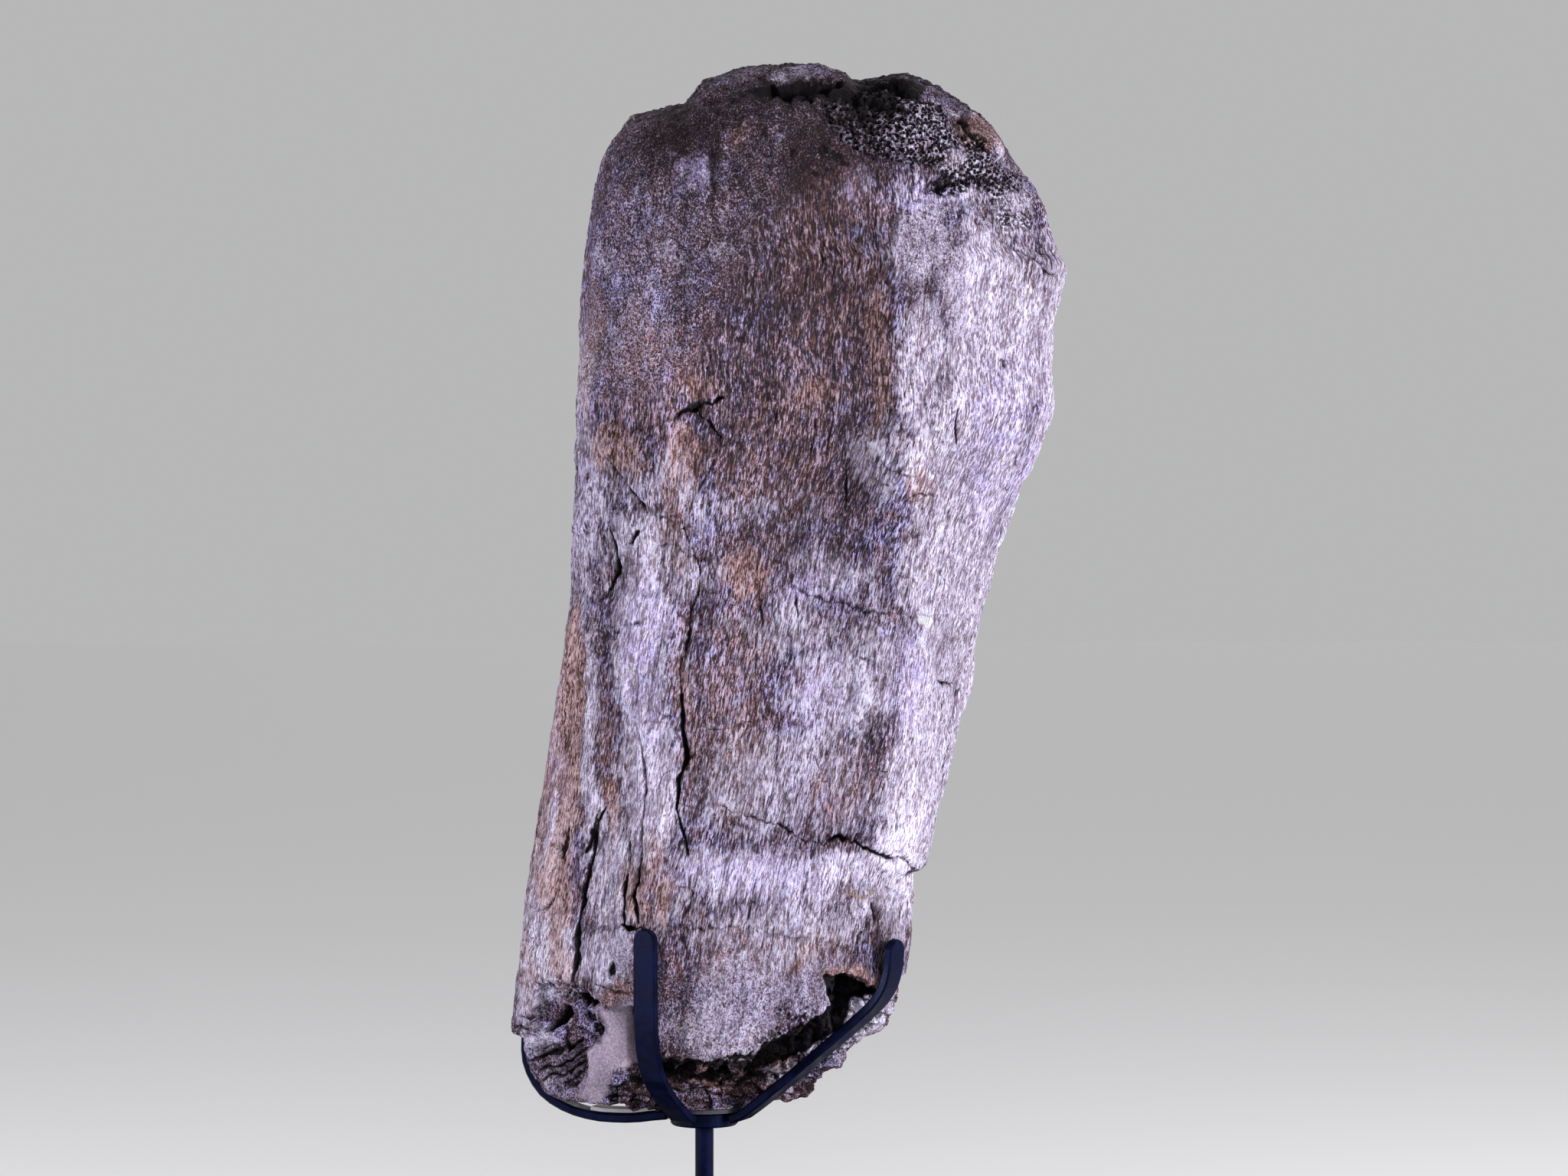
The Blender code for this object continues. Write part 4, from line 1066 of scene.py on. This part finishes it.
def vectorNode(tree, operation, inputs):
    return addNode(tree, "ShaderNodeVectorMath", inputs, operation=operation).outputs[0]


def newGroup(name, inputs, outputs):
    # an empty group whose sockets carry numbers, apart from the place that the pattern reads
    group = bpy.data.node_groups.new(name, "ShaderNodeTree")
    for socket, value in inputs.items():
        kind = "NodeSocketVector" if socket == "Vector" else "NodeSocketFloat"
        made = group.interface.new_socket(socket, in_out="INPUT", socket_type=kind)
        if value is not None:
            made.default_value = value
    for socket in outputs:
        group.interface.new_socket(socket, in_out="OUTPUT", socket_type="NodeSocketFloat")
    return group, group.nodes.new("NodeGroupInput"), group.nodes.new("NodeGroupOutput")


def stretchedPlace(group, given):
    # the place in units of the pattern's size, flattened along the fibres
    density = mathNode(group, "DIVIDE", 1.0, given.outputs["Size"])
    flatDensity = mathNode(group, "DIVIDE", density, given.outputs["Stretch"])
    scale = addNode(group, "ShaderNodeCombineXYZ", {0: density, 1: density, 2: flatDensity}).outputs[0]
    return vectorNode(group, "MULTIPLY", {0: given.outputs["Vector"], 1: scale})


def makeFibreGroup():
    # ridges along the fibres, dark dashes between them, and strokes of three other shades
    group, given, out = newGroup("fibreStrokes", {"Vector": None, "Size": 0.001, "Stretch": 6.0},
                                 ("Height", "Lines", "Orange", "Bright", "Patch"))
    spot = stretchedPlace(group, given)
    fine = noiseNode(group, spot, 1.0, 2.5, 0.6, 0.35)["Fac"]
    shifted = vectorNode(group, "ADD", {0: spot, 1: (31.7, 12.1, 5.3)})
    breaks = noiseNode(group, shifted, 0.22, 1.0)["Fac"]
    pushed = mathNode(group, "MULTIPLY_ADD", mathNode(group, "SUBTRACT", breaks, 0.5), 0.4, fine)
    strokes = noiseNode(group, shifted, 0.62, 4.0, 0.62)["Color"]
    strokes = addNode(group, "ShaderNodeSeparateColor", {"Color": strokes})
    group.links.new(fine, out.inputs["Height"])
    group.links.new(rangeNode(group, pushed, 0.415, 0.375), out.inputs["Lines"])
    group.links.new(rangeNode(group, strokes.outputs["Red"], 0.56, 0.66), out.inputs["Orange"])
    group.links.new(rangeNode(group, strokes.outputs["Green"], 0.58, 0.66), out.inputs["Bright"])
    group.links.new(strokes.outputs["Blue"], out.inputs["Patch"])
    return group


def makeFlakeGroup():
    # a surface that has flaked off in level steps, with a dark line along each step
    group, given, out = newGroup("flakedSteps", {"Vector": None, "Size": 0.004, "Stretch": 3.0},
                                 ("Height", "Edges", "Level"))
    stepCount = 14.0
    level = noiseNode(group, stretchedPlace(group, given), 1.0, 4.0, 0.62, 0.3)["Fac"]
    steps = mathNode(group, "MULTIPLY", level, stepCount)
    part = mathNode(group, "FRACT", steps)
    whole = mathNode(group, "FLOOR", steps)
    height = mathNode(group, "ADD", whole, rangeNode(group, part, 0.35, 0.65))
    edge = mathNode(group, "ABSOLUTE", mathNode(group, "SUBTRACT", part, 0.4))
    group.links.new(mathNode(group, "DIVIDE", height, stepCount), out.inputs["Height"])
    group.links.new(rangeNode(group, edge, 0.16, 0.0), out.inputs["Edges"])
    group.links.new(level, out.inputs["Level"])
    return group


def makePatchGroup():
    # a patch whose edge follows the flakes: Level is their height, Amount how likely the patch is there
    group, given, out = newGroup("flakedPatch", {"Level": 0.5, "Amount": 0.5, "Spread": 2.0, "Softness": 0.1},
                                 ("Mask",))
    centred = mathNode(group, "SUBTRACT", given.outputs["Level"], 0.5)
    pushed = mathNode(group, "MULTIPLY_ADD", centred, given.outputs["Spread"], given.outputs["Amount"])
    low = mathNode(group, "SUBTRACT", 0.5, given.outputs["Softness"])
    high = mathNode(group, "ADD", 0.5, given.outputs["Softness"])
    group.links.new(rangeNode(group, pushed, low, high), out.inputs["Mask"])
    return group


boneFinish = {
    # (position, colour) from the bottoms of the hollows to the tips of the grains
    "ground": [(0.0, (0.016, 0.010, 0.016)), (0.35, (0.070, 0.045, 0.068)), (0.62, (0.155, 0.108, 0.150)),
               (0.82, (0.290, 0.228, 0.315)), (1.0, (0.540, 0.490, 0.690))],
    "pale": [(0.0, (0.262, 0.198, 0.300)), (0.3, (0.492, 0.412, 0.608)), (0.6, (0.655, 0.578, 0.818)),
             (1.0, (0.850, 0.815, 0.985))],
    "rust": [(0.0, (0.110, 0.050, 0.048)), (0.5, (0.400, 0.215, 0.205)), (1.0, (0.640, 0.440, 0.450))],
    "rock": [(0.0, (0.210, 0.160, 0.215)), (0.5, (0.310, 0.245, 0.330)), (1.0, (0.420, 0.355, 0.455))],
    "filler": (0.390, 0.365, 0.470),
    "slit": (0.034, 0.021, 0.024),
    "paleSlit": (0.290, 0.205, 0.235),
    "root": (0.420, 0.380, 0.500),
    "orange": (0.270, 0.140, 0.115),
    "bright": (0.420, 0.390, 0.560),
    "warm": (1.14, 0.96, 0.97),
    "cool": (0.83, 0.87, 1.18),
    "lilac": (0.92, 0.89, 1.15),
    # the near black of cracks and pores, and of the painted shade in pits, the crevice and places too deep
    # for light
    "gapAndShadeDark": (0.005, 0.003, 0.005),
    "white": (0.850, 0.840, 0.900),
    "ochre": (0.380, 0.260, 0.150),
    "roughness": 0.72,
    "shine": 0.16,
    # (size in metres, how many times longer along the bone) of the fine strokes, the bold ones and the flakes
    "strokes": (0.00085, 5.4),
    "boldStrokes": (0.0013, 4.6),
    "flakes": (0.0040, 3.4),
    # how many forms a metre holds
    "grains": 700.0,
    "pores": 430.0,
    "mottle": 110.0,
    "roots": 75.0,
    "stains": 60.0,
    # shares of the strokes, the flakes and the grains in the texture that picks a colour
    "shares": (0.64, 0.14, 0.22),
    "texture": (0.415, 0.585),
    "warmth": (0.42, 0.58),
    # (from, to, least, most): the brightness for a mottle, a crust and a light or dark zone
    "mottleLight": (0.36, 0.64, 0.78, 1.20),
    "crustLight": (0.3, 0.9, 0.74, 1.04),
    "toneLight": (-0.9, 0.9, 0.45, 1.55),
    "crustEdge": {"Spread": 3.2, "Softness": 0.26},
    "rustEdge": {"Spread": -3.0, "Softness": 0.36},
    "gapAndShadeEdge": (0.32, 0.62),
    # how far each kind of form stands out, in millimetres
    "strokeRise": 3.4,
    "flakeRise": 2.6,
    "crustRise": 0.2,
    "lineSink": -0.4,
    "poreSink": -1.4,
}


def newMaterial(name):
    material = bpy.data.materials.new(name)
    material.use_nodes = True
    return material, material.node_tree, material.node_tree.nodes["Principled BSDF"]


def addBump(tree, shader, height, strength, distance):
    bump = addNode(tree, "ShaderNodeBump", {"Height": height, "Strength": strength, "Distance": distance})
    tree.links.new(bump.outputs["Normal"], shader.inputs["Normal"])


def attributeNode(tree, name, output="Fac"):
    return addNode(tree, "ShaderNodeAttribute", None, attribute_name=name).outputs[output]


def rampNode(tree, value, stops):
    ramp = addNode(tree, "ShaderNodeValToRGB", {"Fac": value})
    points = ramp.color_ramp.elements
    while len(points) < len(stops):
        points.new(0.5)
    for point, (place, colour) in zip(points, stops):
        point.position = place
        point.color = (*colour, 1.0)
    return ramp.outputs["Color"]


def makeBoneMaterial(fibreGroup, flakeGroup, patchGroup):
    look = boneFinish
    material, tree, shader = newMaterial("fossil_bone_finish")
    place = addNode(tree, "ShaderNodeTexCoord").outputs["Object"]
    grain = attributeNode(tree, "grain", "Vector")
    masks = {name: attributeNode(tree, name) for name in maskNames}
    toneAndShading, pale, granular = masks["toneAndShading"], masks["pale"], masks["granular"]
    bare = mathNode(tree, "SUBTRACT", 1.0, mathNode(tree, "MAXIMUM", masks["filler"], masks["rock"]))

    def eitherWay(group, form, names):
        # long forms where the surface is fibrous, rounder ones where it is granular
        size, stretch = form
        long = groupNode(tree, group, {"Vector": grain, "Size": size, "Stretch": stretch})
        short = groupNode(tree, group, {"Vector": place, "Size": 1.1 * size, "Stretch": 1.5})
        return [mixValue(tree, granular, long.outputs[name], short.outputs[name]) for name in names]

    strokeNames = ("Height", "Lines", "Orange", "Bright", "Patch")
    ridges, lines, orange, bright, patch = eitherWay(fibreGroup, look["strokes"], strokeNames)
    flakes, edges, level = eitherWay(flakeGroup, look["flakes"], ("Height", "Edges", "Level"))
    size, stretch = look["boldStrokes"]
    bold = groupNode(tree, fibreGroup, {"Vector": grain, "Size": size, "Stretch": stretch})
    grains = noiseNode(tree, place, look["grains"], 3.0, 0.7)["Fac"]
    strokeShare, flakeShare, grainShare = look["shares"]
    texture = mathNode(tree, "MULTIPLY", level, flakeShare)
    for form, share in ((ridges, strokeShare), (grains, grainShare)):
        texture = mathNode(tree, "MULTIPLY_ADD", form, share, texture)
    # the ground in warmer and cooler places, with orange and bright strokes
    broad = noiseNode(tree, place, look["stains"], 8.0, 0.72)["Fac"]
    warmth = mathNode(tree, "MULTIPLY_ADD", toneAndShading, -0.14, broad)
    tint = mixColour(tree, rangeNode(tree, warmth, *look["warmth"]), look["cool"], look["warm"])
    mottle = noiseNode(tree, place, look["mottle"], 3.0, 0.6)["Fac"]
    tint = vectorNode(tree, "SCALE", {0: tint, "Scale": rangeNode(tree, mottle, *look["mottleLight"])})
    step = rangeNode(tree, mathNode(tree, "MULTIPLY_ADD", toneAndShading, 0.10, texture), *look["texture"])
    ground = mixColour(tree, 1.0, rampNode(tree, step, look["ground"]), tint, "MULTIPLY")
    ground = mixColour(tree, mathNode(tree, "MULTIPLY", orange, 0.6), ground, look["orange"])
    bright = mathNode(tree, "MULTIPLY", bright, mathNode(tree, "MULTIPLY_ADD", granular, -0.25, 0.5))
    ground = mixColour(tree, bright, ground, look["bright"])
    # roots bend on their way
    bends = noiseNode(tree, place, 70.0, 3.0)["Color"]
    bent = vectorNode(tree, "MULTIPLY_ADD", {0: bends, 1: (0.022, 0.022, 0.022), 2: place})
    roots = addNode(tree, "ShaderNodeTexVoronoi", {"Vector": bent, "Scale": look["roots"]},
                    feature="DISTANCE_TO_EDGE").outputs["Distance"]
    roots = mathNode(tree, "MULTIPLY", rangeNode(tree, roots, 0.030, 0.012), masks["etched"])
    ground = mixColour(tree, mathNode(tree, "MULTIPLY", roots, 0.7), ground, look["root"])
    # paler crust and rust, whose edges follow the strokes and the flakes
    patches = mixValue(tree, 0.35, patch, level)
    paleMask = {"Level": patches, "Amount": pale, **look["crustEdge"]}
    paleMask = groupNode(tree, patchGroup, paleMask).outputs["Mask"]
    rustMask = {"Level": patches, "Amount": masks["rust"], **look["rustEdge"]}
    rustMask = groupNode(tree, patchGroup, rustMask).outputs["Mask"]
    crust = {0: rampNode(tree, step, look["pale"]), "Scale": rangeNode(tree, pale, *look["crustLight"])}
    colour = mixColour(tree, paleMask, ground, vectorNode(tree, "SCALE", crust))
    rustMask = mathNode(tree, "MULTIPLY", rustMask, 0.85)
    colour = mixColour(tree, rustMask, colour, rampNode(tree, step, look["rust"]))
    lilac = mathNode(tree, "MULTIPLY", masks["lilac"], rangeNode(tree, broad, 0.40, 0.56))
    colour = mixColour(tree, lilac, colour, mixColour(tree, 1.0, colour, look["lilac"], "MULTIPLY"))
    colour = mixColour(tree, masks["filler"], colour, look["filler"])
    rock = rampNode(tree, rangeNode(tree, grains, 0.3, 0.7), look["rock"])
    colour = mixColour(tree, masks["rock"], colour, rock)
    # the tone-and-shading mask scales the colour: darker and lighter colour zones with painted shade and
    # painted light, then the dark lines, pores and cracks
    colour = vectorNode(tree, "SCALE", {0: colour, "Scale": rangeNode(tree, toneAndShading, *look["toneLight"])})
    boldLines = mathNode(tree, "MULTIPLY_ADD", granular, -0.5, 0.6)
    boldLines = mathNode(tree, "MULTIPLY", bold.outputs["Lines"], boldLines)
    dark = mathNode(tree, "MAXIMUM", lines, boldLines)
    dark = mathNode(tree, "MAXIMUM", dark, mathNode(tree, "MULTIPLY", edges, 0.25))
    dark = mathNode(tree, "MULTIPLY", dark, bare)
    slit = mixColour(tree, paleMask, look["slit"], look["paleSlit"])
    colour = mixColour(tree, mathNode(tree, "MULTIPLY", dark, 0.85), colour, slit)
    cells = addNode(tree, "ShaderNodeTexVoronoi", {"Vector": place, "Scale": look["pores"]})
    holes = rangeNode(tree, cells.outputs["Distance"], 0.62, 0.38)
    holes = mathNode(tree, "MULTIPLY", holes, rangeNode(tree, masks["sponge"], 0.2, 0.9))
    ragged = mathNode(tree, "SUBTRACT", patches, 0.5)
    ragged = rangeNode(tree, mathNode(tree, "MULTIPLY_ADD", ragged, 1.6, masks["gapAndShade"]), *look["gapAndShadeEdge"])
    # painted shade: the gap-and-shade mask darkens cracks, pores, pits, the crevice and the deep-shade
    # patches to near black
    deep = mathNode(tree, "MAXIMUM", mathNode(tree, "MULTIPLY", ragged, 0.96), holes)
    colour = mixColour(tree, deep, colour, look["gapAndShadeDark"])
    colour = mixColour(tree, rangeNode(tree, masks["mark"], 0.3, 0.6), colour, look["white"])
    ochre = mathNode(tree, "MULTIPLY", rangeNode(tree, masks["mark"], -0.3, -0.6), 0.6)
    colour = mixColour(tree, ochre, colour, look["ochre"])
    tree.links.new(colour, shader.inputs["Base Color"])
    shader.inputs["Roughness"].default_value = look["roughness"]
    shader.inputs["Specular IOR Level"].default_value = look["shine"]
    # relief, which the smooth rock and the repairs have less of
    rise = mathNode(tree, "MULTIPLY", flakes, look["flakeRise"])
    rise = mathNode(tree, "MULTIPLY_ADD", ridges, look["strokeRise"], rise)
    boldRise = mathNode(tree, "MULTIPLY_ADD", granular, -1.4, 1.8)
    rise = mathNode(tree, "MULTIPLY_ADD", bold.outputs["Height"], boldRise, rise)
    rise = mathNode(tree, "MULTIPLY", rise, bare)
    rise = mathNode(tree, "MULTIPLY_ADD", grains, mathNode(tree, "MULTIPLY_ADD", bare, 1.4, 0.3), rise)
    for form, amount in ((paleMask, look["crustRise"]), (dark, look["lineSink"]), (holes, look["poreSink"])):
        rise = mathNode(tree, "MULTIPLY_ADD", form, amount, rise)
    addBump(tree, shader, rise, 1.0, mm)
    return material


paintFinish = {
    "colour": (0.0009, 0.0015, 0.0100),
    "worn": (0.0026, 0.0042, 0.0260),
    "roughness": 0.38,
    "gloss": 0.11,
    "sheen": (0.40, 0.48, 1.0),
    "brushMarks": (0.25, 0.0004),
}


def makePaintMaterial(fibreGroup):
    look = paintFinish
    material, tree, shader = newMaterial("blue_black_paint")
    place = addNode(tree, "ShaderNodeTexCoord").outputs["Object"]
    soft = noiseNode(tree, place, 90.0, 5.0, 0.6)["Fac"]
    marks = groupNode(tree, fibreGroup, {"Vector": place, "Size": 0.0012, "Stretch": 1.0})
    colour = mixColour(tree, rangeNode(tree, soft, 0.42, 0.7), look["colour"], look["worn"])
    tree.links.new(colour, shader.inputs["Base Color"])
    rough = rangeNode(tree, soft, 0.3, 0.7, look["roughness"] - 0.08, look["roughness"] + 0.14)
    tree.links.new(rough, shader.inputs["Roughness"])
    # the gloss fades on faces seen edge-on, which would mirror the pale floor
    edgeOn = addNode(tree, "ShaderNodeLayerWeight", {"Blend": 0.5}).outputs["Facing"]
    gloss = rangeNode(tree, edgeOn, 0.5, 0.85, look["gloss"], 0.0)
    tree.links.new(gloss, shader.inputs["Specular IOR Level"])
    shader.inputs["Specular Tint"].default_value = (*look["sheen"], 1.0)
    addBump(tree, shader, marks.outputs["Height"], *look["brushMarks"])
    return material


padFinish = {
    "grey_rubber": (0.07, 0.07, 0.09),
    "pale_felt": (0.50, 0.48, 0.50),
    "roughness": 0.95,
    "fuzz": (0.5, 0.0006),
}


def makePadMaterial(name):
    colour = padFinish[name]
    material, tree, shader = newMaterial(name)
    place = addNode(tree, "ShaderNodeTexCoord").outputs["Object"]
    fuzz = noiseNode(tree, place, 900.0, 4.0, 0.7)["Fac"]
    darker = tuple(0.6 * channel for channel in colour)
    tree.links.new(mixColour(tree, fuzz, darker, colour), shader.inputs["Base Color"])
    shader.inputs["Roughness"].default_value = padFinish["roughness"]
    addBump(tree, shader, fuzz, *padFinish["fuzz"])
    return material


fibreGroup = makeFibreGroup()
boneMaterial = makeBoneMaterial(fibreGroup, makeFlakeGroup(), makePatchGroup())
paint = makePaintMaterial(fibreGroup)
greyPad = makePadMaterial("grey_rubber")
palePad = makePadMaterial("pale_felt")
print("materials are ready")

makeBone(boneMaterial)


# The stand

def dressNode(name, material):
    nodes[name].data.materials.clear()
    nodes[name].data.materials.append(material)


for name in ("front_arm", "right_arm", "left_arm", "cradle_hub", "post", "base_plate"):
    dressNode(name, paint)
dressNode("seat_pad", greyPad)
dressNode("left_arm_pad", palePad)
print("the stand is dressed")


# Floor, light and camera

studio = {
    "floorSize": 60.0,
    "floorColour": (0.80, 0.80, 0.81),
    "backdrop": (0.4755, 0.4762, 0.4806),
    "ambient": 0.20,
    # name: (strength, spread, turn)
    "suns": {"soft_sun": (1.0, 50.0, (-38.0, 0.0, 20.0)), "back_sun": (0.9, 50.0, (-74.0, 0.0, -14.0))},
    # name: (place, aim, size, power, colour)
    "lights": {
        "right_key": ((1.85, -0.95, 0.70), (0.05, 0.0, 0.45), 0.45, 50.0, (1.0, 0.985, 1.0)),
        "left_key": ((-1.85, -0.90, 0.60), (-0.05, 0.0, 0.42), 0.5, 30.0, (0.94, 0.95, 1.0)),
        "front_fill": ((0.2, -3.2, 1.2), (0.0, 0.0, 0.4), 1.2, 12.0, (1.0, 1.0, 1.0)),
    },
}


def makeFloor():
    bm = bmesh.new()
    bmesh.ops.create_grid(bm, x_segments=1, y_segments=1, size=studio["floorSize"] / 2)
    mesh = bpy.data.meshes.new("floor")
    bm.to_mesh(mesh)
    bm.free()
    floor = addObject("floor", mesh)
    material, tree, shader = newMaterial("pale_floor")
    shader.inputs["Base Color"].default_value = (*studio["floorColour"], 1.0)
    shader.inputs["Roughness"].default_value = 0.9
    mesh.materials.append(material)


def makeWorld():
    # the camera sees a plain grey, and the bone gets a weak white light from all sides
    world = bpy.data.worlds.new("studio")
    world.use_nodes = True
    sky = world.node_tree
    sky.nodes.clear()
    backdrop = addNode(sky, "ShaderNodeBackground", {"Color": (*studio["backdrop"], 1.0)}).outputs[0]
    ambient = {"Color": (1.0, 1.0, 1.0, 1.0), "Strength": studio["ambient"]}
    ambient = addNode(sky, "ShaderNodeBackground", ambient).outputs[0]
    seen = addNode(sky, "ShaderNodeLightPath").outputs["Is Camera Ray"]
    mixed = addNode(sky, "ShaderNodeMixShader", {0: seen, 1: ambient, 2: backdrop}).outputs[0]
    addNode(sky, "ShaderNodeOutputWorld", {"Surface": mixed})
    bpy.context.scene.world = world


def makeLights():
    for name, (strength, spread, turn) in studio["suns"].items():
        lamp = bpy.data.lights.new(name, "SUN")
        lamp.energy = strength
        lamp.angle = math.radians(spread)
        addObject(name, lamp).rotation_euler = [math.radians(angle) for angle in turn]
    for name, (place, aim, size, power, colour) in studio["lights"].items():
        lamp = bpy.data.lights.new(name, "AREA")
        lamp.size = size
        lamp.energy = power
        lamp.color = colour
        light = addObject(name, lamp)
        light.location = place
        light.rotation_euler = (Vector(aim) - Vector(place)).to_track_quat("-Z", "Y").to_euler()


def makeCamera():
    data = bpy.data.cameras.new("camera")
    data.lens = view["lens"]
    data.sensor_width = view["sensor"]
    data.clip_end = 100.0
    camera = addObject("camera", data)
    camera.location = (view["middle"], -view["distance"], view["height"])
    camera.rotation_euler = (math.pi / 2, 0.0, 0.0)
    bpy.context.scene.camera = camera


makeFloor()
makeWorld()
makeLights()
makeCamera()
bpy.context.scene.view_settings.view_transform = "Standard"
print("floor, lights and camera are set")
